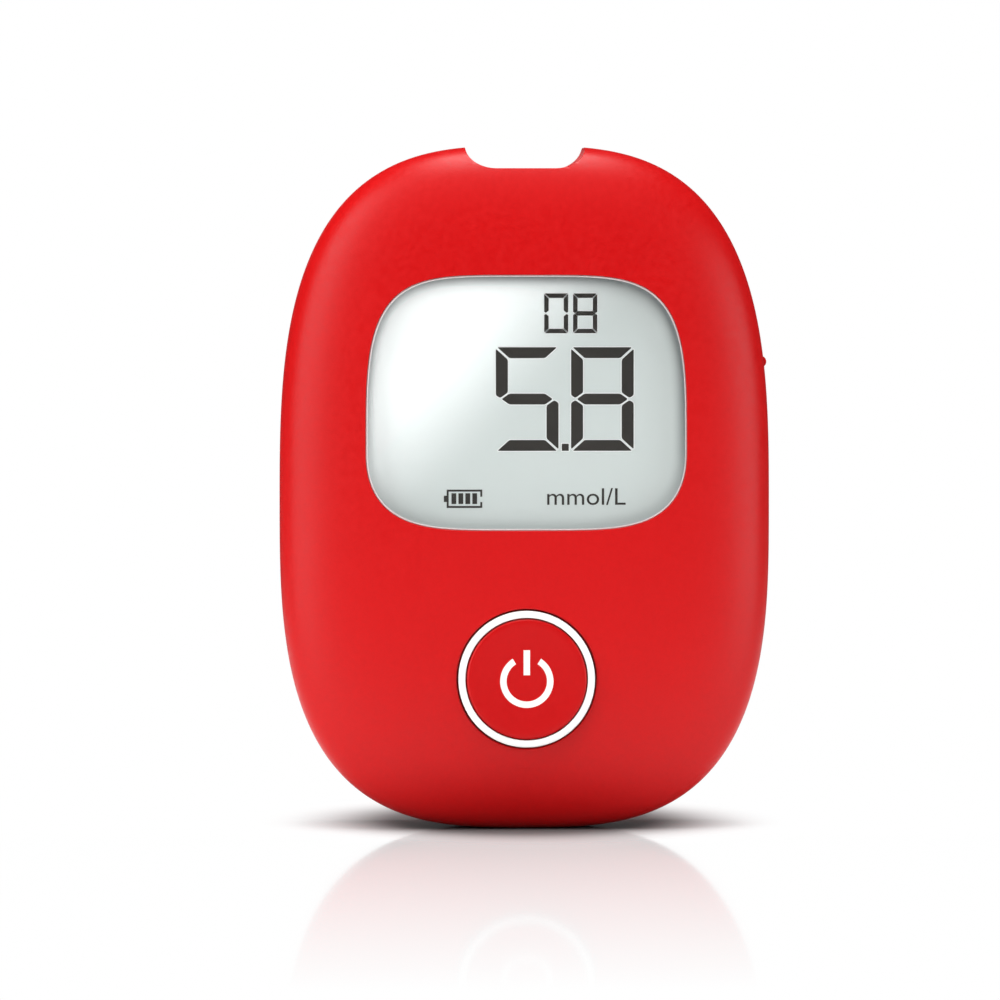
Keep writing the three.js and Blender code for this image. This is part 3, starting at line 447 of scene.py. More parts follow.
def half_rings(half, grow, steps, seam_y, count, edge=0.0):
    """Rings of a half of the housing, offset by grow, from front to back."""
    side, roll, rise = half["side"], half["roll"] + grow, half["depth"] - SIDE_LAND + grow
    rings = [ring_at(outline(BODY, grow - edge, count), seam_y)]
    if edge:
        rings.append(ring_at(outline(BODY, grow, count), seam_y + side * edge))
    last = steps if half["flat"] else steps - 1
    for step in range(last + 1):
        angle = step / steps * math.pi / 2
        inset = roll * (1 - math.cos(angle) ** (2 / half["power"]))
        y = side * (SIDE_LAND + rise * math.sin(angle) ** (2 / half["power"]))
        rings.append(ring_at(outline(BODY, grow - inset, count), y))
    return rings if side > 0 else rings[::-1]


def notch_outline(grow, corner=0.0):
    """The notch, open at the top. With a corner radius its sides turn outward at the crown."""
    rim = NOTCH_FLOOR + NOTCH_SIDE_HEIGHT
    edge = NOTCH_FLOOR_HALF_WIDTH + NOTCH_SIDE_RUN + grow
    right = []
    start = math.asin(corner / NOTCH_SIDE_HEIGHT) if corner else 0.0
    for step in range(NOTCH_STEPS + 1):
        angle = math.pi / 2 + (start - math.pi / 2) * step / NOTCH_STEPS
        x = NOTCH_FLOOR_HALF_WIDTH + (NOTCH_SIDE_RUN + grow) * math.cos(angle)
        right.append((x, rim - (NOTCH_SIDE_HEIGHT + grow) * math.sin(angle)))
    if corner:
        x, z = right[-1]
        for step in range(1, FILLET_STEPS + 1):
            angle = math.radians(NOTCH_RIM_TURN) * step / FILLET_STEPS
            right.append((x + corner * (1 - math.cos(angle)), z + corner * math.sin(angle)))
        edge = right[-1][0] + corner
    right.append((edge, rim + NOTCH_DEPTH))
    left = [(-x, z) for x, z in reversed(right)]
    return np.array(left + right)


def fillet_rings(shape, surface, radius, way):
    """Rings of a cutter whose wall opens out in a fillet where it meets a surface.
    shape(grow) gives its outline, surface(points) the surface's depth, and way is 1 towards the back."""
    rings = []
    for step in range(FILLET_STEPS + 1):
        angle = math.radians(FILLET_START + (90 - FILLET_START) * step / FILLET_STEPS)
        inset, drop = radius * (1 - math.sin(angle)), radius * (1 - math.cos(angle))
        if step == 0:
            above = shape(inset + drop / 2)
            rings.append(ring_at(above, surface(above) - way * drop))
        points = shape(inset)
        rings.append(ring_at(points, surface(points) + way * drop))
    return rings


def flare(name, shape, surface, radius, end_y, way):
    """A cutter from outside the housing to end_y, with a fillet where it goes through a surface."""
    mouth, end = ring_at(shape(radius), -way * DEEP_BACK), ring_at(shape(0), end_y)
    return loft(name, [mouth, *fillet_rings(shape, surface, radius, way), end])


def notch_cutter(name):
    """The notch right through the housing, with a fillet along its front and back edges."""

    def shape(grow):
        return notch_outline(grow, NOTCH_EDGE)

    front = fillet_rings(shape, front_y, NOTCH_EDGE, 1)
    back = fillet_rings(shape, back_y, NOTCH_EDGE, -1)
    ends = [ring_at(shape(NOTCH_EDGE), y) for y in (DEEP_FRONT, DEEP_BACK)]
    return loft(name, [ends[0], *front, *reversed(back), ends[1]])


def shared_openings():
    """Cutters of both halves: the notch, the strip connector's opening and the nub's slot."""
    port_z = (NOTCH_FLOOR - WALL - OVERRUN, NOTCH_FLOOR + OVERRUN)
    slot_x = (SLOT_INNER_X, BODY_HALF_WIDTH + OVERRUN)
    return [
        notch_cutter("notch"),
        block("port", around(0, PORT_HALF_WIDTH), (PORT_FRONT_Y, PORT_BACK_Y), port_z),
        block("slot", slot_x, around(0, SLOT_HALF_DEPTH), (SLOT_FOOT, SLOT_TOP)),
    ]


def inner_notch(grow):
    return plate("inner_notch", notch_outline(grow), DEEP_FRONT, DEEP_BACK)


def lip_ring(name, grow, front, back, notch_wall):
    """A ring along the inside of the parting line, broken where the notch is."""
    ring = plate(name, outline(BODY, grow, HIDDEN_STEPS), front, back)
    inner = plate("inner", outline(BODY, -WALL, HIDDEN_STEPS), front - OVERRUN, back + OVERRUN)
    return carve(name, ring, [inner, inner_notch(notch_wall)])


def hollow(half, pockets=()):
    """A half of the housing with its walls, and with pockets cut into it."""
    side, steps = half["side"], half["steps"]
    outer = loft("outer", half_rings(half, 0, steps, side * HALF_GAP, OUTLINE_STEPS, PARTING_EDGE))
    inner = loft("inner", half_rings(half, -WALL, CAVITY_STEPS, -side * OVERRUN, HIDDEN_STEPS))
    return carve("shell", outer, [carve("cavity", inner, [inner_notch(WALL)]), *pockets])


def front_shell():
    tray_low, tray_high = TRAY_LOW - FIT, TRAY_HIGH + FIT
    tray = rounded(tray_low[0], tray_high[0], tray_low[2], tray_high[2], TRAY_CORNER + FIT)
    pockets = [
        plate("lens_pocket", outline(WINDOW, LENS_FLANGE + FIT), LENS_SEAT_Y, OVERRUN),
        plate("tray_pocket", tray, PANEL_FRONT_Y - FIT, OVERRUN),
        peg("key_pocket", COLLAR, -KEY_FLANGE_SEAT, OVERRUN, 0, KEY_Z, ROUND_STEPS),
    ]
    collar = peg("collar", COLLAR + COLLAR_WALL, COLLAR_ROOT_Y, COLLAR_END_Y, 0, KEY_Z, ROUND_STEPS)
    bore = peg("bore", COLLAR, DEEP_FRONT, OVERRUN, 0, KEY_Z, ROUND_STEPS)
    plus = [carve("collar", collar, [bore])]
    roots = (LOW_BOSS_ROOT_Y, LOW_BOSS_ROOT_Y, HIGH_BOSS_ROOT_Y, HIGH_BOSS_ROOT_Y)
    plus += [peg("boss", BOSS, root, -HALF_GAP, x, z) for root, (x, z) in zip(roots, BOSSES)]
    plus += [peg("post", POST, POST_ROOT_Y, BOARD_FRONT_Y, x, z) for x, z in POSTS]
    seat = LENS_SEAT_Y + OVERRUN
    minus = [
        flare("window", lambda g: outline(WINDOW, g - WINDOW_TRIM), front_y, WINDOW_EDGE, seat, 1),
        flare("key_hole", lambda g: circle(KEY_HOLE + g, 0, KEY_Z), front_y, KEY_EDGE, KEY_HOLE_END_Y, 1),
        lip_ring("rebate", LIP - WALL + FIT, -LIP_HEIGHT - FIT, 0, WALL),
        *shared_openings(),
    ]
    minus += [peg("hole", BOSS_HOLE, BOSS_HOLE_END_Y, OVERRUN, x, z) for x, z in BOSSES]
    post_low, post_high = BOARD_FRONT_Y - POST_HOLE_DEPTH, BOARD_FRONT_Y + OVERRUN
    minus += [peg("hole", POST_HOLE, post_low, post_high, x, z) for x, z in POSTS]
    return carve("housing_front", hollow(FRONT, pockets), minus, plus)


def door_outline(grow):
    foot, top = DOOR_FOOT - grow, DOOR_TOP + grow
    return rounded(-DOOR_HALF_WIDTH - grow, DOOR_HALF_WIDTH + grow, foot, top, DOOR_CORNER + grow)


def scoop():
    """A ball that cuts a finger hollow across the top edge of the door."""
    radius, depth, steps = 9.0, 0.7, 64
    profile = []
    for step in range(steps + 1):
        angle = math.pi * step / steps
        profile.append((radius * math.sin(angle), BACK_DEPTH - depth + radius - radius * math.cos(angle)))
    return turned("scoop", profile, 0, DOOR_TOP + FIT, TURNED_STEPS)


def counterbore(x, z):
    """The hole of a screw's head, from the back."""
    return flare(
        "counterbore",
        lambda g: circle(COUNTERBORE + g, x, z, BORE_STEPS),
        back_y,
        COUNTERBORE_EDGE,
        COUNTERBORE_Y,
        -1,
    )


def back_shell():
    bracket_z = (BRACKET_FOOT, BRACKET_FOOT + BRACKET_THICKNESS)
    wall_x, wall_z = around(0, BAY_HALF_WIDTH + BAY_WALL), (BAY_FLOOR - BAY_WALL, BAY_ROOF + BAY_WALL)
    plus = [
        lip_ring("lip", LIP - WALL, -LIP_HEIGHT, SIDE_LAND, WALL + FIT),
        block("bracket", around(SPRING_X, BRACKET_HALF_WIDTH), (BRACKET_FRONT_Y, DOOR_INNER_Y), bracket_z),
        block("bay_wall", wall_x, (BAY_FLOOR_Y - BAY_WALL, LEDGE_Y), wall_z),
        plate("ledge", door_outline(LEDGE_WIDTH), LEDGE_Y - LEDGE_THICKNESS, LEDGE_Y),
    ]
    latch_z = (BAY_ROOF - BAY_WALL, DOOR_TOP + FIT)
    minus = [
        block("bay", around(0, BAY_HALF_WIDTH), (BAY_FLOOR_Y, DEEP_BACK), (BAY_FLOOR, BAY_ROOF)),
        flare("recess", lambda g: door_outline(FIT + g), lambda p: BACK_DEPTH, DOOR_EDGE, LEDGE_Y, -1),
        block("latch", around(0, LATCH_HALF_WIDTH + FIT), (LATCH_FRONT_Y - FIT, DEEP_BACK), latch_z),
        scoop(),
        *shared_openings(),
    ]
    hook_y = (HOOK_FRONT_Y - HOOK_SWEEP, LEDGE_Y)
    hook_z = (DOOR_FOOT - HOOK_DROP - FIT, BAY_FLOOR + HOOK_SWEEP)
    tail_z = (BAY_ROOF - CONTACT_PLATE - FIT, BAY_ROOF + FIT)
    for side in (-1, 1):
        minus.append(block("hook", around(side * HOOK_X, HOOK_HALF_WIDTH + FIT), hook_y, hook_z))
        tail_x = around(side * CELL_X, TAIL_HALF_WIDTH + FIT)
        minus.append(block("tail", tail_x, (TAIL_FRONT_Y, TAIL_BACK_Y), tail_z))
    for x, z in BOSSES:
        skin = float(back_y(circle(TUBE, x, z, TUBE_STEPS)).min())
        plus.append(peg("tube", TUBE, HALF_GAP, skin - WALL / 4, x, z, TUBE_STEPS))
        minus += [peg("hole", TUBE_HOLE, -OVERRUN, DEEP_BACK, x, z), counterbore(x, z)]
    body = carve("body", hollow(BACK), minus, plus)
    margin = CONTACT_PLATE + FIT
    rib_y = (BAY_FLOOR_Y - RIB_ROOT, BAY_FLOOR_Y + RIB_REACH)
    rib = block("rib", around(0, RIB_HALF_WIDTH), rib_y, (BAY_FLOOR + margin, BAY_ROOF - margin))
    return carve("housing_back", body, [], [rib])


def door():
    rings = []
    for sine, cosine in quarter():
        rings.append(ring_at(door_outline(-DOOR_EDGE * (1 - sine)), BACK_DEPTH - DOOR_EDGE * (1 - cosine)))
    rings.append(ring_at(door_outline(0), DOOR_INNER_Y))
    hook_top = DOOR_FOOT + HOOK_THICKNESS
    claw_y = (HOOK_FRONT_Y, HOOK_FRONT_Y + HOOK_THICKNESS)
    plus = []
    for side in (-1, 1):
        hook_x = around(side * HOOK_X, HOOK_HALF_WIDTH)
        plus.append(block("hook", hook_x, (HOOK_FRONT_Y, DOOR_MIDDLE_Y), (DOOR_FOOT, hook_top)))
        plus.append(block("claw", hook_x, claw_y, (DOOR_FOOT - HOOK_DROP, hook_top)))
    latch_x = around(0, LATCH_HALF_WIDTH)
    low, high = BAY_ROOF + FIT, BAY_ROOF + FIT + LATCH_THICKNESS
    bump_y = (LATCH_FRONT_Y, LATCH_FRONT_Y + LATCH_THICKNESS)
    plus.append(block("latch", latch_x, (LATCH_FRONT_Y, DOOR_MIDDLE_Y), (low, high)))
    plus.append(block("bump", latch_x, bump_y, (low, high + LATCH_BUMP)))
    grips = [grip_groove(DOOR_TOP - GRIP_DROP - row * GRIP_PITCH) for row in range(3)]
    return carve("bay_door", loft("panel", rings), [scoop(), *grips], plus)


def grip_groove(z):
    """A shallow groove with round ends and sloping sides across the door."""
    half, rise, depth, wall, slope, flat = 6.0, 0.4, 0.35, 0.1, 0.12, 0.01

    def groove(inset):
        x, low, high = half - inset, z - rise + inset, z + rise - inset
        return rounded(-x, x, low, high, rise - flat - inset, GROOVE_STEPS)

    wide, narrow = groove(0), groove(slope)
    levels = ((wide, BACK_DEPTH + OVERRUN), (wide, BACK_DEPTH - wall), (narrow, BACK_DEPTH - depth))
    return loft("groove", [ring_at(points, y) for points, y in levels])


# Small pieces


def dish_y(x, z):
    """Depth of the key's hollow face, from its centre."""
    return KEY_FACE_Y + KEY_DISH * (1 - (x * x + z * z) / DISH_RADIUS**2)


def key_cap():
    radii = [DISH_RADIUS * step / DISH_STEPS for step in range(DISH_STEPS + 1)]
    profile = [(radius, dish_y(radius, 0)) for radius in radii]
    for sine, cosine in quarter()[1:]:
        profile.append((DISH_RADIUS + KEY_ROUND * sine, KEY_FACE_Y + KEY_ROUND * (1 - cosine)))
    flange = -KEY_FLANGE_SEAT + FIT
    back = flange + KEY_FLANGE_THICKNESS
    skin = KEY_FACE_Y + KEY_SKIN
    profile += [(KEY_RADIUS, RING_SEAT_Y), (RING_OUTER, RING_SEAT_Y), (RING_OUTER, flange)]
    profile += [(KEY_FLANGE, flange), (KEY_FLANGE, back), (KEY_HOLLOW, back), (KEY_HOLLOW, skin)]
    profile += [(KEY_STEM, skin), (KEY_STEM, KEY_STEM_END), (0, KEY_STEM_END)]
    return turned("key_disc", profile, 0, KEY_Z)


def key_ring():
    profile = [(RING_INNER, RING_SEAT_Y)]
    for sine, cosine in quarter():
        profile.append((RING_INNER + RING_ROUND * (1 - cosine), KEY_FACE_Y + RING_ROUND * (1 - sine)))
    for sine, cosine in quarter():
        profile.append((RING_OUTER - RING_ROUND * (1 - sine), KEY_FACE_Y + RING_ROUND * (1 - cosine)))
    profile.append((RING_OUTER, RING_SEAT_Y))
    return loft("trim_ring", [ring_at(circle(r, 0, KEY_Z), y) for r, y in profile], True)


def on_dish(name, columns):
    """A thin print on the key from columns of points about its centre."""
    lift = 0.02
    rings = []
    for column in columns:
        front = [(x, dish_y(x, z) - lift, z + KEY_Z) for x, z in column]
        back = [(x, dish_y(x, z) + lift, z + KEY_Z) for x, z in reversed(column)]
        rings.append(front + back)
    return loft(name, rings)


def power_arc():
    inner, outer, half_gap, drop, steps, strips = 2.5, 3.3, 32, 0.25, 72, 3
    columns = []
    for step in range(steps + 1):
        angle = math.radians(90 + half_gap + (360 - 2 * half_gap) * step / steps)
        radii = [inner + (outer - inner) * strip / strips for strip in range(strips + 1)]
        columns.append([(r * math.cos(angle), r * math.sin(angle) - drop) for r in radii])
    return on_dish("power_arc", columns)


def power_bar():
    half, low, high, steps, strips = 0.4, 0.5, 3.6, 12, 3
    levels = [low + (high - low) * step / steps for step in range(steps + 1)]
    across = [-half + 2 * half * strip / strips for strip in range(strips + 1)]
    return on_dish("power_bar", [[(x, z) for z in levels] for x in across])


def lens():
    """The window's lens, whose crowned face follows the housing's front just below it."""
    middle = np.array([0.0, WINDOW["level"] + (WINDOW["top"] - WINDOW["bottom"]) / 2])
    rings = []
    rim = outline(WINDOW, -LENS_GAP - LENS_EDGE)
    first_share = 1e-5
    for step in range(LENS_STEPS):
        points = middle + (rim - middle) * max(step / LENS_STEPS, first_share)
        rings.append(ring_at(points, front_y(points) + LENS_SINK))
    for sine, cosine in quarter():
        points = outline(WINDOW, -LENS_GAP - LENS_EDGE * (1 - sine))
        rings.append(ring_at(points, front_y(points) + LENS_SINK + LENS_EDGE * (1 - cosine)))
    for grow, y in ((-LENS_GAP, FLANGE_FRONT_Y), (LENS_FLANGE, FLANGE_FRONT_Y), (LENS_FLANGE, LENS_BACK_Y)):
        rings.append(ring_at(outline(WINDOW, grow), y))
    return loft("window_lens", rings)


def screw(name, x, z):
    """A turned screw with a domed head and a cross recess."""
    tip, top = COUNTERBORE_Y - SCREW_LENGTH, COUNTERBORE_Y + SCREW_HEAD_HEIGHT
    point, rim, slot_depth = 0.4 * SCREW_SHANK, 0.4 * SCREW_HEAD_HEIGHT, 0.65 * SCREW_HEAD_HEIGHT
    flat, reach, width = 0.45 * SCREW_HEAD, 0.55 * SCREW_HEAD, 0.14 * SCREW_HEAD
    profile = [(0, tip), (point, tip), (SCREW_SHANK, tip + SCREW_SHANK)]
    profile += [(SCREW_SHANK, COUNTERBORE_Y), (SCREW_HEAD, COUNTERBORE_Y)]
    for sine, cosine in quarter(DOME_STEPS):
        y = COUNTERBORE_Y + rim + (SCREW_HEAD_HEIGHT - rim) * sine
        profile.append((flat + (SCREW_HEAD - flat) * cosine, y))
    profile.append((0, top))
    slot_y = (top - slot_depth, top + OVERRUN)
    cross = [
        block("slot", around(x, across), slot_y, around(z, along))
        for across, along in ((reach, width), (width, reach))
    ]
    return carve(name, turned("body", profile, x, z, TUBE_STEPS), cross)


def upright(name, profile, x, y):
    """A turned solid about Z from points of radius and Z."""
    rings = []
    for radius, z in profile:
        ring = circle(max(radius, PINHOLE), x, y, TURNED_STEPS)
        rings.append(np.stack([ring[:, 0], ring[:, 1], np.full(TURNED_STEPS, float(z))], 1))
    return loft(name, rings)


def battery(name, x, foot, way):
    """An AAA cell from its flat end, which is at foot, towards its nub, up or down."""
    radius, length, edge = 5.25, 43.7, 0.4
    foot_inset, foot_slope, foot_rise = 1.0, 0.1, 0.15
    nub, nub_length, nub_edge, shoulder, shoulder_rise = 1.9, 0.8, 0.2, 0.5, 0.05
    side, tip = radius - edge, length + nub_length
    profile = [(0, 0), (radius - foot_inset - foot_slope, 0), (radius - foot_inset, foot_rise)]
    for sine, cosine in quarter(CELL_EDGE_STEPS):
        profile.append((side + edge * sine, foot_rise + edge * (1 - cosine)))
    for sine, cosine in quarter(CELL_EDGE_STEPS):
        profile.append((side + edge * cosine, length - edge + edge * sine))
    profile += [(nub + shoulder, length), (nub, length + shoulder_rise), (nub, tip - nub_edge)]
    profile += [(nub - nub_edge, tip), (0, tip)]
    return upright(name, [(r, foot + way * z) for r, z in profile], x, CELL_Y)


def coil(name, x, y, low, high, turns, flat_turns):
    """The ejector's wound spring, whose end turns lie flat."""
    per_turn, sides = 36, 10
    rings = []
    for step in range(turns * per_turn + 1):
        turn = step / per_turn
        rise = (turn - flat_turns) / (turns - 2 * flat_turns)
        middle = np.array([x, y, low + (high - low) * min(max(rise, 0), 1)])
        angle = turn * 2 * math.pi
        out, up = np.array([math.cos(angle), math.sin(angle), 0]), np.array([0, 0, 1])
        ring = []
        for side in range(sides):
            round_wire = side / sides * 2 * math.pi
            offset = (out * math.cos(round_wire) + up * math.sin(round_wire)) * SPRING_WIRE
            ring.append(middle + out * SPRING_RADIUS + offset)
        rings.append(np.array(ring))
    return loft(name, rings)


# Camera

camera_data = bpy.data.cameras.new("camera")
camera = placed("camera", camera_data)
bpy.context.scene.camera = camera
AIM = Vector((-2.94, 0.0, 40.75)) * MM
DISTANCE = 1.0
AZIMUTH, ELEVATION = math.radians(-1.9), math.radians(1.7)
run = math.cos(ELEVATION)
away = Vector((math.sin(AZIMUTH) * run, -math.cos(AZIMUTH) * run, math.sin(ELEVATION)))
camera.location = AIM + away * DISTANCE
camera.rotation_mode = "QUATERNION"
camera.rotation_quaternion = (-away).to_track_quat("-Z", "Y")
camera_data.lens = 288.0
camera_data.sensor_width = 36.0
camera_data.clip_start = 0.05
camera_data.clip_end = 20.0

bpy.context.scene.view_settings.view_transform = "Standard"


# Display marks. Their places are measured across the plane of the joint between the halves and carried
# along the sight line to the panel.

INK_FRONT = PANEL_FRONT_Y - 0.03
FIELD_FRONT = PANEL_FRONT_Y - 0.01
MARK_BACK = PANEL_FRONT_Y - 0.002
FIELD = 0.11
SMALL_DIGIT = dict(low=61.59, height=4.96, bar=0.55, post=0.55, gap=0.1)
LARGE_DIGIT = dict(low=46.89, height=12.95, bar=1.36, post=1.5, gap=0.19)
POINT = (4.79, 5.66, 46.89, 47.78)
eye = np.array(camera.location) / MM


def on_panel(x, z):
    share = (INK_FRONT - eye[1]) / (0 - eye[1])
    return eye[0] + (x - eye[0]) * share, eye[2] + (z - eye[2]) * share


def widened(points, by):
    """A convex shape grown by a distance."""
    parallel = 0.05
    points = [np.array(p, float) for p in points]
    turn = sum(a[0] * b[1] - a[1] * b[0] for a, b in zip(points, points[1:] + points[:1]))
    lines = []
    for first, last in zip(points, points[1:] + points[:1]):
        along = (last - first) / np.linalg.norm(last - first)
        out = np.array([along[1], -along[0]]) * math.copysign(1, turn)
        lines.append((first + out * by, along))
    grown = []
    for (p, u), (q, v) in zip(lines[-1:] + lines[:-1], lines):
        cross = u[0] * v[1] - u[1] * v[0]
        if abs(cross) < parallel:
            grown.append(q)
        else:
            grown.append(p + u * ((q - p)[0] * v[1] - (q - p)[1] * v[0]) / cross)
    return grown


def mark(name, points, field=0.0):
    """A thin shape on the display from its corners, over a paler field when that has a width."""
    made = []
    shapes = [(name, points, INK_FRONT)]
    if field:
        shapes.append((name + "_field", widened(points, field), FIELD_FRONT))
    for part, corners, front in shapes:
        flat = np.array([on_panel(x, z) for x, z in corners])
        made.append(plate(part, flat, front, MARK_BACK))
    return made


def eased(points, radius, steps=4):
    """The corners of a shape, each cut back into a short arc."""
    points = [np.array(p, float) for p in points]
    result = []
    for number, corner in enumerate(points):
        before, after = points[number - 1], points[(number + 1) % len(points)]
        back, ahead = before - corner, after - corner
        reach = min(radius, np.linalg.norm(back) / 3, np.linalg.norm(ahead) / 3)
        first = corner + back / np.linalg.norm(back) * reach
        last = corner + ahead / np.linalg.norm(ahead) * reach
        for step in range(steps + 1):
            t = step / steps
            result.append((1 - t) ** 2 * first + 2 * t * (1 - t) * corner + t * t * last)
    return result


def rectangle(left, right, low, high):
    return [(left, low), (right, low), (right, high), (left, high)]


def digit(name, lit, left, width, low, height, bar, post, gap):
    """Bars of a seven-segment digit: a top, b and c right, d foot, e and f left, g middle."""
    right, high, middle = left + width, low + height, low + height / 2
    slant = 0.7
    half, tip, cut, rounding = bar / 2, post * 0.35, gap * slant, min(bar, post) * 0.16
    outer, inner = (left + gap, right - gap), (left + post + gap, right - post - gap)
    shapes = {
        "a": [(outer[0], high), (outer[1], high), (inner[1], high - bar), (inner[0], high - bar)],
        "d": [(inner[0], low + bar), (inner[1], low + bar), (outer[1], low), (outer[0], low)],
        "g": [
            (outer[0] + tip, middle),
            (inner[0], middle + half),
            (inner[1], middle + half),
            (outer[1] - tip, middle),
            (inner[1], middle - half),
            (inner[0], middle - half),
        ],
        "f": [
            (left, high - gap),
            (left + post, high - bar - gap),
            (left + post, middle + half + cut),
            (left + tip, middle + cut),
            (left, middle + half * slant),
        ],
    }
    shapes["b"] = [(left + right - x, z) for x, z in shapes["f"]]
    shapes["e"] = [(x, 2 * middle - z) for x, z in shapes["f"]]
    shapes["c"] = [(left + right - x, z) for x, z in shapes["e"]]
    made = []
    for bar_name in lit:
        made += mark(name + "_" + bar_name, eased(shapes[bar_name], rounding), FIELD)
    return made


def battery_mark():
    """A cell's outline with a nub at its left and a break in its right side, and four bars in it."""
    left, right, low, high, line = -9.61, -5.16, 39.76, 42.05, 0.25
    gap_low, gap_high, nub, nub_high = 40.5, 41.16, 0.35, 41.29
    bar_left, bar_low, bar_high, bar_width, pitch = -9.01, 40.25, 41.6, 0.6, 0.87
    boxes = {
        "top": (left, right, high - line, high),
        "foot": (left, right, low, low + line),
        "left": (left, left + line, low + line, high - line),
        "right_1": (right - line, right, low + line, gap_low),
        "right_2": (right - line, right, gap_high, high - line),
        "nub": (left - nub, left, gap_low, nub_high),
    }
    for number in range(4):
        x = bar_left + number * pitch
        boxes[f"bar_{number}"] = (x, x + bar_width, bar_low, bar_high)
    made = []
    for name, box in boxes.items():
        made += mark("charge_" + name, rectangle(*box))
    return made


def unit_mark():
    """The unit of the reading, as raised lettering as thin as the other marks."""
    left, right, foot, top = 2.96, 12.78, 40.11, 42.23
    words = bpy.data.curves.new("unit", "FONT")
    words.body = "mmol/L"
    words.size = 1.0
    words.extrude = 0.5
    words.resolution_u = 4
    holder = placed("unit", words)
    bpy.context.view_layer.update()
    mesh = bpy.data.meshes.new_from_object(holder.evaluated_get(bpy.context.evaluated_depsgraph_get()))
    co = np.array([v.co[:] for v in mesh.vertices])
    share = (co - co.min(0)) / (co.max(0) - co.min(0))
    x, z = left + share[:, 0] * (right - left), foot + share[:, 1] * (top - foot)
    y = np.where(co[:, 2] > 0, INK_FRONT, MARK_BACK)
    places = np.array([on_panel(a, b) for a, b in zip(x, z)])
    mesh.vertices.foreach_set("co", (ring_at(places, y) * MM).ravel())
    mesh.update()
    mesh.materials.clear()
    bpy.data.objects.remove(holder)
    bpy.data.curves.remove(words)
    return outward(placed("unit_mark", mesh))


# Materials

NOISE_RANGE = (0.3, 0.7)
CLEAR_IOR = 1.49
# Strength of the display panel's glow, which is painted light that lifts the panel out of the shadows the
# window's rim casts on it.
PANEL_PAINTED_GLOW = 0.4


def linear(red, green, blue):
    """Linear colour of an sRGB one from 0 to 255."""
    values = [c / 255 for c in (red, green, blue)]
    return tuple(c / 12.92 if c <= 0.04045 else ((c + 0.055) / 1.055) ** 2.4 for c in values)


class Graph:
    """A node tree under construction."""

    def __init__(self, tree):
        self.tree = tree
        tree.nodes.clear()

    def feed(self, socket, value):
        """Gives an input a value, an output, or a node, of which the first output is meant."""
        if isinstance(value, bpy.types.Node):
            value = value.outputs[0]
        if isinstance(value, bpy.types.NodeSocket):
            self.tree.links.new(value, socket)
        else:
            socket.default_value = value

    def node(self, kind, inputs=None, **settings):
        made = self.tree.nodes.new(kind)
        for key, value in settings.items():
            setattr(made, key, value)
        for key, value in (inputs or {}).items():
            self.feed(made.inputs[key], value)
        return made

    def axes(self, place):
        return self.node("ShaderNodeSeparateXYZ", {"Vector": place}).outputs

    def span(self, value, low, high, start=0.0, end=1.0, smooth=False):
        """value moved from the range low to high onto start to end."""
        limits = {"From Min": low, "From Max": high, "To Min": start, "To Max": end}
        kind = "SMOOTHSTEP" if smooth else "LINEAR"
        made = self.node("ShaderNodeMapRange", {"Value": value, **limits}, interpolation_type=kind)
        return made.outputs["Result"]

    def math(self, operation, *values, clamp=False):
        made = self.node("ShaderNodeMath", operation=operation, use_clamp=clamp)
        for socket, value in zip(made.inputs, values):
            self.feed(socket, value)
        return made.outputs[0]

    def product(self, first, second):
        return self.math("MULTIPLY", first, second)

    def length(self, first, second):
        squares = [self.math("POWER", side, 2.0) for side in (first, second)]
        return self.math("SQRT", self.math("ADD", *squares))

    def mix(self, share, first, second):
        """A colour between two, of which either is a tuple or an output."""
        made = self.node("ShaderNodeMix", {"Factor": share}, data_type="RGBA")
        sockets = [socket for socket in made.inputs if socket.type == "RGBA"]
        for socket, colour in zip(sockets, (first, second)):
            self.feed(socket, (*colour, 1.0) if isinstance(colour, tuple) else colour)
        return next(socket for socket in made.outputs if socket.type == "RGBA")

    def blend(self, share, first, second):
        """A shader between two."""
        made = self.node("ShaderNodeMixShader")
        for socket, value in zip(made.inputs, (share, first, second)):
            self.feed(socket, value)
        return made


class Look(Graph):
    """A node material under construction, with its shader and its object coordinates."""

    def __init__(self, name, roughness=0.5, metallic=0.0, specular=0.5):
        self.material = bpy.data.materials.new(name)
        self.material.use_nodes = True
        super().__init__(self.material.node_tree)
        self.output = self.node("ShaderNodeOutputMaterial")
        levels = {"Roughness": roughness, "Metallic": metallic, "Specular IOR Level": specular}
        self.shader = self.node("ShaderNodeBsdfPrincipled", levels)
        self.feed(self.output.inputs["Surface"], self.shader)
        self.place = self.node("ShaderNodeTexCoord").outputs["Object"]

    def show(self, shader):
        """Puts another shader in the place of the first one."""
        self.tree.nodes.remove(self.shader)
        self.feed(self.output.inputs["Surface"], shader)

    def noise(self, scale, detail=3.0, place=None):
        settings = {"Scale": scale, "Detail": detail, "Vector": place or self.place}
        return self.node("ShaderNodeTexNoise", settings).outputs["Fac"]

    def paint(self, colour):
        self.feed(self.shader.inputs["Base Color"], colour)

    def rough(self, noise, low, high):
        self.feed(self.shader.inputs["Roughness"], self.span(noise, *NOISE_RANGE, low, high))

    def bump(self, height, distance):
        made = self.node("ShaderNodeBump", {"Strength": 1.0, "Distance": distance, "Height": height})
        self.feed(self.shader.inputs["Normal"], made)


def shades(colour, spread):
    """A colour a little darker and a little lighter."""
    return [tuple(min(c * (1 + way * spread), 1.0) for c in colour) for way in (-1, 1)]


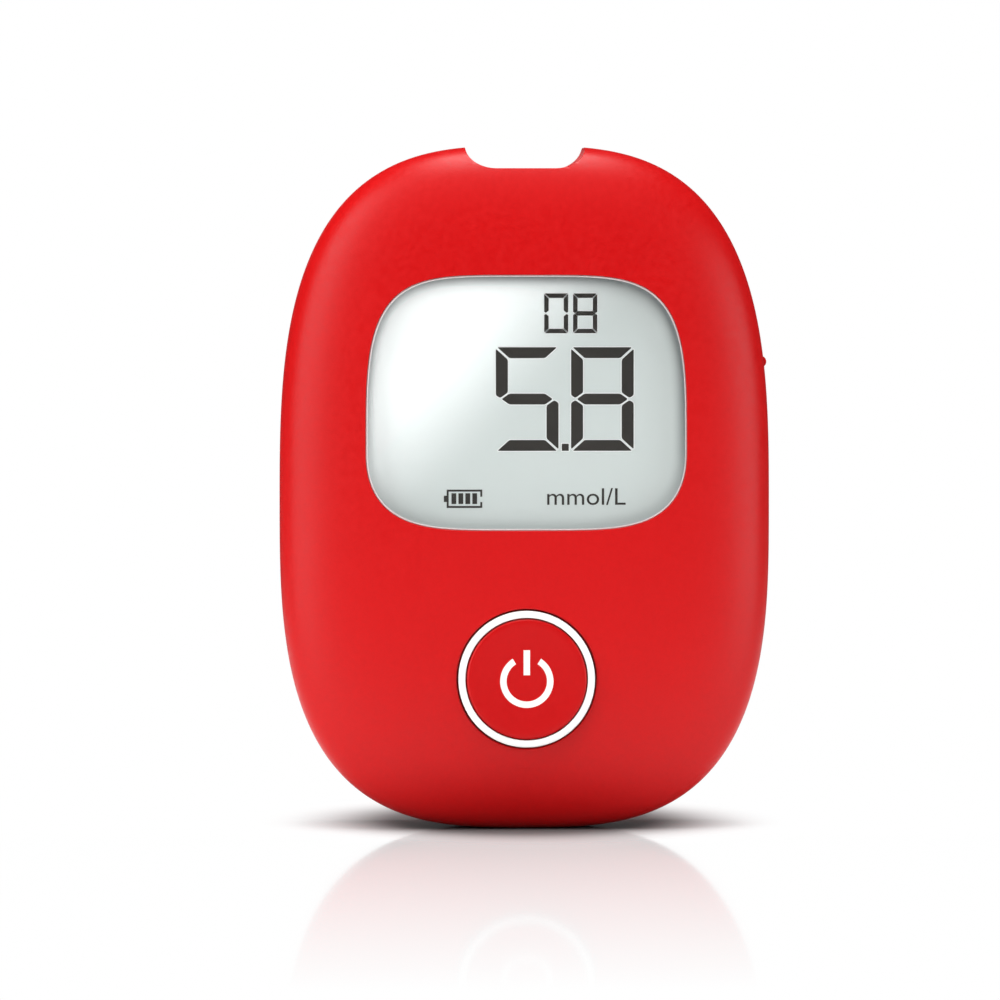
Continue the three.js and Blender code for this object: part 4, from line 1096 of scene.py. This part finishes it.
def moulded(name, colour, roughness, specular=0.5, spread=0.03, grain=5200.0, depth=4e-6):
    """Moulded plastic: slow and mottled colour variation, and fine grain in gloss and surface."""
    look = Look(name, roughness, 0.0, specular)
    fine, mottle, slow = look.noise(grain, 2.0), look.noise(grain * 0.3, 2.0), look.noise(90.0)
    tone = look.math("MULTIPLY_ADD", fine, 0.35, look.product(mottle, 0.4))
    tone = look.math("MULTIPLY_ADD", slow, 0.25, tone)
    look.paint(look.mix(look.span(tone, 0.35, 0.65), *shades(colour, spread)))
    look.rough(mottle, roughness - 0.05, roughness + 0.05)
    look.bump(look.math("ADD", fine, mottle), depth)
    return look


def metal(name, colour, roughness, stretch):
    """Plated or brushed metal, with fine lines along one axis."""
    look = Look(name, roughness, 1.0)
    stretched = look.node("ShaderNodeMapping", {"Scale": stretch, "Vector": look.place})
    lines, slow = look.noise(900.0, 3.0, stretched), look.noise(240.0, 2.0)
    look.paint(look.mix(look.span(slow, *NOISE_RANGE), *shades(colour, 0.06)))
    look.rough(lines, roughness - 0.08, roughness + 0.08)
    look.bump(lines, 2e-6)
    return look


red = moulded("soft_red", linear(204, 7, 10), 0.4, 0.27, 0.045, 4800.0, 9e-6)
key_red = moulded("key_red", linear(197, 6, 9), 0.37, 0.24, 0.04, 4800.0, 7e-6)
white = moulded("satin_white", linear(252, 252, 250), 0.4, 0.4, 0.01)
print_white = moulded("print_white", linear(250, 249, 247), 0.5, 0.3, 0.01)
black = moulded("black_plastic", linear(28, 29, 32), 0.5, 0.5, 0.12)
grey = moulded("grey_plastic", linear(143, 146, 150), 0.5, 0.5, 0.04)
foam = moulded("black_foam", linear(62, 64, 66), 0.9, 0.2, 0.25, 2600.0, 4e-5)
tape = moulded("adhesive_tape", linear(226, 226, 220), 0.4, 0.5, 0.04)
ink = moulded("display_ink", linear(58, 55, 52), 0.4, 0.3, 0.04)
field_tone = moulded("display_field", linear(246, 248, 247), 0.4, 0.3, 0.01)
steel = metal("nickel_steel", linear(206, 207, 210), 0.4, (1.0, 1.0, 12.0))
screw_steel = metal("screw_steel", linear(200, 201, 204), 0.44, (6.0, 1.0, 6.0))
gold = metal("gold_plate", linear(232, 190, 104), 0.24, (12.0, 1.0, 1.0))


def display_look():
    """The pale panel, with light and shade painted into its colour: it falls towards the lower right as if
    lit from the upper left, darkens in painted shade under the rim of the window, and glows in its own tone
    as painted light.
    """
    slope, across_panel = (-0.052, -0.036), (-0.018, 0.02)
    up_panel, under_rim = (0.037, 0.047), (0.045, 0.06)
    # These two tones are painted light: the panel is lighter at the upper left and darker at the lower
    # right, as if lit from the upper left.
    painted_lit_tone, painted_shaded_tone = linear(246, 249, 248), linear(186, 192, 190)
    # The first of these tones is painted shade, the dark grey the panel takes right under the rim of the
    # window. The second is the colour of random flecks.
    painted_rim_shade, fleck_tone = linear(120, 124, 124), linear(190, 196, 194)
    look = Look("display_panel", 0.4, 0.0, 0.3)
    x, _, z = look.axes(look.place)

    def reach(length, size, power):
        """How much of a size a length takes up, if it is above zero, to a power."""
        part = look.math("DIVIDE", look.math("MAXIMUM", length, 0.0), size * MM)
        return look.math("POWER", part, power)

    # A diagonal along which the painted light falls off, from the upper left down to the lower right.
    painted_light_fall = look.product(look.math("SUBTRACT", x, z), 0.7)
    base = look.mix(look.span(painted_light_fall, *slope, smooth=True), painted_lit_tone, painted_shaded_tone)
    rise = look.math("SUBTRACT", z, WINDOW["level"] * MM)
    across = reach(look.math("ABSOLUTE", x), WINDOW["half"], WINDOW["side"])
    up = reach(rise, WINDOW["top"], WINDOW["up"])
    down = reach(look.product(rise, -1.0), WINDOW["bottom"], WINDOW["down"])
    edge = look.math("ADD", across, look.math("ADD", up, down))
    # Painted shade: the panel darkens towards the edges of the window, more on the right and towards the
    # top, and most in a narrow band under the top of the rim.
    painted_shade = look.product(look.span(edge, 0.62, 0.98, smooth=True), look.span(x, *across_panel, 0.4, 0.75))
    painted_shade = look.product(painted_shade, look.span(z, *up_panel, 0.25, 1.0))
    rim = look.span(edge, 0.74, 1.0, 0.0, 0.55, True)
    painted_shade = look.math("MULTIPLY_ADD", rim, look.span(z, *under_rim), painted_shade, clamp=True)
    fleck = look.noise(4200.0, 2.0)
    tone = look.mix(look.span(fleck, 0.35, 0.65, 0.0, 0.03), look.mix(painted_shade, base, painted_rim_shade), fleck_tone)
    look.paint(tone)
    # Painted light: the panel glows in its own tone.
    look.feed(look.shader.inputs["Emission Color"], tone)
    look.feed(look.shader.inputs["Emission Strength"], PANEL_PAINTED_GLOW)
    look.rough(fleck, 0.36, 0.44)
    look.bump(fleck, 1e-6)
    return look


def lens_look(name, tint, frost=0.0):
    """A clear part through which light passes straight, with gloss by Fresnel, and with frost or none."""
    look = Look(name)
    clear = look.node("ShaderNodeBsdfTransparent", {"Color": (*tint, 1.0)})
    haze = look.span(look.noise(60.0), *NOISE_RANGE, 0.05, 0.08)
    gloss = look.node("ShaderNodeBsdfGlossy", {"Roughness": haze})
    outer = look.math("SUBTRACT", 1.0, look.node("ShaderNodeNewGeometry").outputs["Backfacing"])
    share = look.product(look.node("ShaderNodeFresnel", {"IOR": CLEAR_IOR}), outer)
    body = look.blend(share, clear, gloss)
    if frost:
        dust = look.node("ShaderNodeBsdfDiffuse", {"Color": (*linear(228, 220, 220), 1.0)})
        grain = look.span(look.noise(2400.0, 2.0), *NOISE_RANGE, frost - 0.06, frost + 0.06)
        body = look.blend(grain, body, dust)
    look.show(body)
    return look


def board_look():
    """Green solder mask over darker and lighter copper areas, in a pattern of tracks."""
    look = Look("board_green", 0.35, 0.0, 0.5)
    turn = look.node("ShaderNodeMapping", {"Rotation": (math.pi / 2, 0.0, 0.0), "Vector": look.place})
    brick = look.node("ShaderNodeTexBrick", {"Scale": 260.0, "Mortar Size": 0.08, "Vector": turn})
    tracks = brick.outputs["Fac"]
    base = look.mix(look.span(look.noise(160.0, 2.0), 0.4, 0.6), linear(20, 84, 52), linear(26, 96, 60))
    look.paint(look.mix(tracks, base, linear(40, 122, 78)))
    look.rough(look.noise(3000.0), 0.3, 0.4)
    look.bump(tracks, 2e-5)
    return look


def sleeve_look():
    """A plain printed sleeve with a paler band round each end."""
    low_band, high_band, blur = 0.0215, 0.0585, 0.0002
    look = Look("cell_sleeve", 0.3, 0.0, 0.5)
    z = look.axes(look.place)["Z"]
    low = look.span(z, low_band, low_band + blur, 1.0, 0.0)
    high = look.span(z, high_band, high_band + blur, 0.0, 1.0)
    band = look.math("ADD", low, high, clamp=True)
    fine = look.noise(1400.0, 2.0)
    blue = look.mix(look.span(fine, *NOISE_RANGE), linear(50, 84, 132), linear(56, 92, 142))
    look.paint(look.mix(band, blue, linear(196, 199, 204)))
    look.rough(fine, 0.26, 0.36)
    look.bump(fine, 5e-7)
    return look


def layered_rubber():
    look = Look("zebra_rubber", 0.55, 0.0, 0.3)
    settings = {"Scale": 1500.0, "Vector": look.place}
    wave = look.node("ShaderNodeTexWave", settings, wave_type="BANDS", bands_direction="X")
    look.paint(look.mix(wave.outputs["Fac"], linear(222, 150, 166), linear(120, 60, 78)))
    look.bump(look.noise(1800.0), 4e-6)
    return look


sleeve = sleeve_look()
lens_clear = lens_look("lens_clear", (0.985, 0.992, 0.992))
lens_edge = lens_look("lens_edge", (0.9, 0.92, 0.92), 0.8)

BY_SLOT = {
    "red_plastic": red,
    "white_plastic": white,
    "black_plastic": black,
    "grey_plastic": grey,
    "clear_lens": lens_clear,
    "display_glass": display_look(),
    "adhesive": tape,
    "foam": foam,
    "pink_rubber": layered_rubber(),
    "steel": steel,
    "gold_contact": gold,
    "battery_sleeve": sleeve,
    "green_board": board_look(),
    "capacitor_body": moulded("capacitor_body", linear(199, 158, 72), 0.5, 0.5, 0.08),
}


def dress(made, *looks):
    made.data.materials.clear()
    for look in looks:
        made.data.materials.append(look.material)
    return made


def by_place(made, choose):
    """Gives each face the number of the material that choose picks for its middle, in millimetres."""
    for face in made.data.polygons:
        face.material_index = choose(face.center / MM)


def fit_in(made, body, slot, looks, *hidden):
    dress(made, *looks)
    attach(made, body)
    if hidden:
        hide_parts(*hidden)
    return made


for row in frame["record"]["subparts"]:
    node = nodes[row["node"]]
    for material_slot in node.material_slots:
        material_slot.material = BY_SLOT[row["material_slot"]].material

fit_in(shade(front_shell()), "housing", "red_plastic", [red], "front_shell")
fit_in(shade(back_shell()), "housing", "red_plastic", [red], "rear_shell")
fit_in(shade(door()), "door", "red_plastic", [red], "battery_door")
fit_in(shade(key_cap()), "key", "red_plastic", [key_red], "key_cap")
fit_in(shade(key_ring()), "key", "white_plastic", [white], "key_ring")
fit_in(shade(power_arc()), "key", "white_plastic", [print_white])
fit_in(shade(power_bar()), "key", "white_plastic", [print_white])

glass = fit_in(shade(lens()), "housing", "clear_lens", [lens_clear, lens_edge], "display_lens")


def lens_side(middle):
    """The clear face inside the rim and the frosted rim round it."""
    rise = middle[2] - WINDOW["level"]
    reach, power = (WINDOW["top"], WINDOW["up"]) if rise > 0 else (WINDOW["bottom"], WINDOW["down"])
    grow = -LENS_GAP - LENS_EDGE
    across = abs(middle[0] / (WINDOW["half"] + grow)) ** WINDOW["side"]
    return 0 if across + abs(rise / (reach + grow)) ** power < 1 else 1


by_place(glass, lens_side)

marks = [
    *digit("hour_0", "abcdef", 2.59, 2.99, **SMALL_DIGIT),
    *digit("hour_8", "abcdefg", 6.2, 3.02, **SMALL_DIGIT),
    *digit("value_5", "acdfg", -3.46, 7.84, **LARGE_DIGIT),
    *digit("value_8", "abcdefg", 5.95, 7.83, **LARGE_DIGIT),
    *mark("value_point", rectangle(*POINT), FIELD),
    *battery_mark(),
    unit_mark(),
]
for shape in marks:
    fit_in(shape, "housing", "display_glass", [field_tone if shape.name.endswith("_field") else ink])

for number, (x, z) in SCREWS.items():
    made = shade(screw(f"housing_screw_{number}", x, z))
    fit_in(made, "housing", "steel", [screw_steel], f"case_screw_{number}")

CELLS = ((1, -CELL_X, BAY_FLOOR + CELL_STAND, 1), (2, CELL_X, BAY_ROOF - CELL_STAND, -1))
for number, x, foot, way in CELLS:
    made = shade(battery(f"cell_{number}", x, foot, way))
    fit_in(made, "housing", "battery_sleeve", [sleeve, steel], f"battery_{number}")
    by_place(made, lambda middle, x=x: int(math.hypot(middle[0] - x, middle[1] - CELL_Y) < CELL_BARE))

low, high = (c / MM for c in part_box("eject_spring"))
wire_low, wire_high = low[2] + SPRING_WIRE, high[2] - SPRING_WIRE
spring = coil("return_coil", SPRING_X, SPRING_Y, wire_low, wire_high, SPRING_TURNS, 1.0)
fit_in(shade(spring), "housing", "steel", [steel], "eject_spring")
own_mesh(spring)

for name in ("eject_slider", "strip_port", "lcd_tray", "switch_body", "switch_plunger"):
    bevel = nodes[name].modifiers.new("edges", "BEVEL")
    bevel.width = BEVEL * MM
    bevel.segments = BEVEL_STEPS
    bevel.limit_method = "ANGLE"
    bevel.angle_limit = math.radians(BEVEL_ANGLE)
    bevel.harden_normals = False

# Floor, world and lamps. Places and sizes are in metres.

FLOOR_RADIUS = 0.36
FLOOR_DROP = 0.00002
# The floor's colour at the middle of the ellipse below, which is a painted shadow about the foot.
PAINTED_SHADOW_TONE = 0.17
FAR_TONE = 0.94
# The ellipse of the painted shadow, centred a little behind the foot. It also bounds where the floor turns
# plain white.
SHADOW_HALF_WIDTH = 0.034
SHADOW_HALF_DEPTH = 0.05
SHADOW_MIDDLE_Y = 0.01
WHITE = (1.0, 1.0, 1.0, 1.0)
floor_mesh = bpy.data.meshes.new("floor")
work = bmesh.new()
bmesh.ops.create_circle(work, cap_ends=True, segments=128, radius=FLOOR_RADIUS)
bmesh.ops.translate(work, verts=work.verts, vec=(0, 0, -FLOOR_DROP))
work.to_mesh(floor_mesh)
work.free()
floor = placed("floor", floor_mesh)


def floor_look():
    """Pale floor that keeps the object's shadow and a faint reflection, darkens about the foot in a painted
    shadow, and is plain white further out.
    """
    look = Look("floor")
    x, y, _ = look.axes(look.place)
    across = look.math("DIVIDE", x, SHADOW_HALF_WIDTH)
    along = look.math("DIVIDE", look.math("SUBTRACT", y, SHADOW_MIDDLE_Y), SHADOW_HALF_DEPTH)
    reach = look.length(across, along)
    # Painted shadow: the floor's colour darkens towards the middle of the ellipse, over the object's real
    # shadow.
    tone = look.span(reach, 0.4, 1.0, PAINTED_SHADOW_TONE, FAR_TONE, True)
    tone = look.math("ADD", tone, look.span(look.noise(300.0, 2.0), *NOISE_RANGE, -0.004, 0.004))
    floor_and_painted_shadow = look.node("ShaderNodeBsdfDiffuse", {"Color": tone})
    paper = look.node("ShaderNodeEmission", {"Strength": 1.0})
    seen = look.node("ShaderNodeLightPath").outputs["Is Camera Ray"]
    ground = look.blend(look.product(look.span(reach, 0.45, 1.0, smooth=True), seen), floor_and_painted_shadow, paper)
    gloss = look.node("ShaderNodeBsdfGlossy", {"Color": WHITE, "Roughness": 0.05})
    facing = look.node("ShaderNodeLayerWeight", {"Blend": 0.5}).outputs["Facing"]
    mirror = look.product(look.span(y, -0.226, 0.0, 0.0, 0.71), look.math("POWER", facing, 7.0))
    mirror = look.product(mirror, look.span(y, -0.03, -0.004, 1.0, 0.06, True))
    gone = look.node("ShaderNodeBsdfTransparent")
    rim = look.span(look.length(x, y), 0.2, 0.34, smooth=True)
    look.show(look.blend(rim, look.blend(mirror, ground, gloss), gone))
    return look


dress(floor, floor_look())

AMBIENT = 0.14
FRONT_AMBIENT = 0.03
FRONT_GLOSS = 0.05


def studio_world():
    """Soft light that is weaker in front, white to the camera, and a pale band behind to be mirrored.
    Directions run from -1 to 1 along each axis."""
    world = bpy.data.worlds.new("studio")
    world.use_nodes = True
    sky = Graph(world.node_tree)
    rays = sky.node("ShaderNodeLightPath").outputs
    seen = rays["Is Camera Ray"]
    right, back, up = sky.axes(sky.node("ShaderNodeTexCoord").outputs["Generated"])
    mirrored = sky.math("MAXIMUM", rays["Is Glossy Ray"], rays["Is Transmission Ray"])
    sideways = sky.math("ABSOLUTE", right)
    height = sky.product(sky.span(up, 0.03, 0.055, smooth=True), sky.span(up, 0.12, 0.2, 1.0, 0.0, True))
    band = sky.product(sky.span(sideways, 0.11, 0.2, 1.0, 0.0, True), height)
    band = sky.product(sky.span(back, 0.0, 0.3, smooth=True), band)
    shown = sky.product(mirrored, sky.math("MAXIMUM", band, FRONT_GLOSS))
    diffuse = sky.math("SUBTRACT", 1.0, sky.math("MAXIMUM", seen, mirrored))
    soft = sky.product(diffuse, sky.span(back, -0.95, -0.5, FRONT_AMBIENT, AMBIENT, True))
    strength = sky.math("MAXIMUM", sky.math("ADD", soft, shown), seen)
    background = sky.node("ShaderNodeBackground", {"Color": WHITE, "Strength": strength})
    sky.node("ShaderNodeOutputWorld", {"Surface": background})
    return world


bpy.context.scene.world = studio_world()


def softbox(name, place, width, height, power):
    """A rectangular lamp that faces the middle of the object."""
    data = bpy.data.lights.new(name, "AREA")
    data.shape = "RECTANGLE"
    data.size, data.size_y = width, height
    data.energy = power
    lamp = placed(name, data)
    lamp.location = place
    lamp.rotation_mode = "QUATERNION"
    lamp.rotation_quaternion = (CENTRE - Vector(place)).to_track_quat("-Z", "Y")
    return lamp


CENTRE = Vector((0.0, 0.0, 0.045))
softbox("key_light", (-0.58, -0.36, 0.52), 0.46, 0.46, 2.6)
softbox("left_strip", (-0.56, -0.37, 0.12), 0.5, 0.34, 1.6)
softbox("right_strip", (0.59, -0.33, 0.12), 0.46, 0.34, 1.68)
softbox("front_light", (0.0, -0.55, 0.46), 0.5, 0.25, 0.25)
softbox("top_front", (0.0, -0.25, 0.78), 0.25, 0.25, 2.2)
softbox("top_light", (0.0, 0.02, 0.8), 0.22, 0.22, 3.0)
softbox("back_fill", (0.0, 0.8, 0.1), 0.6, 0.4, 2.6).visible_glossy = False
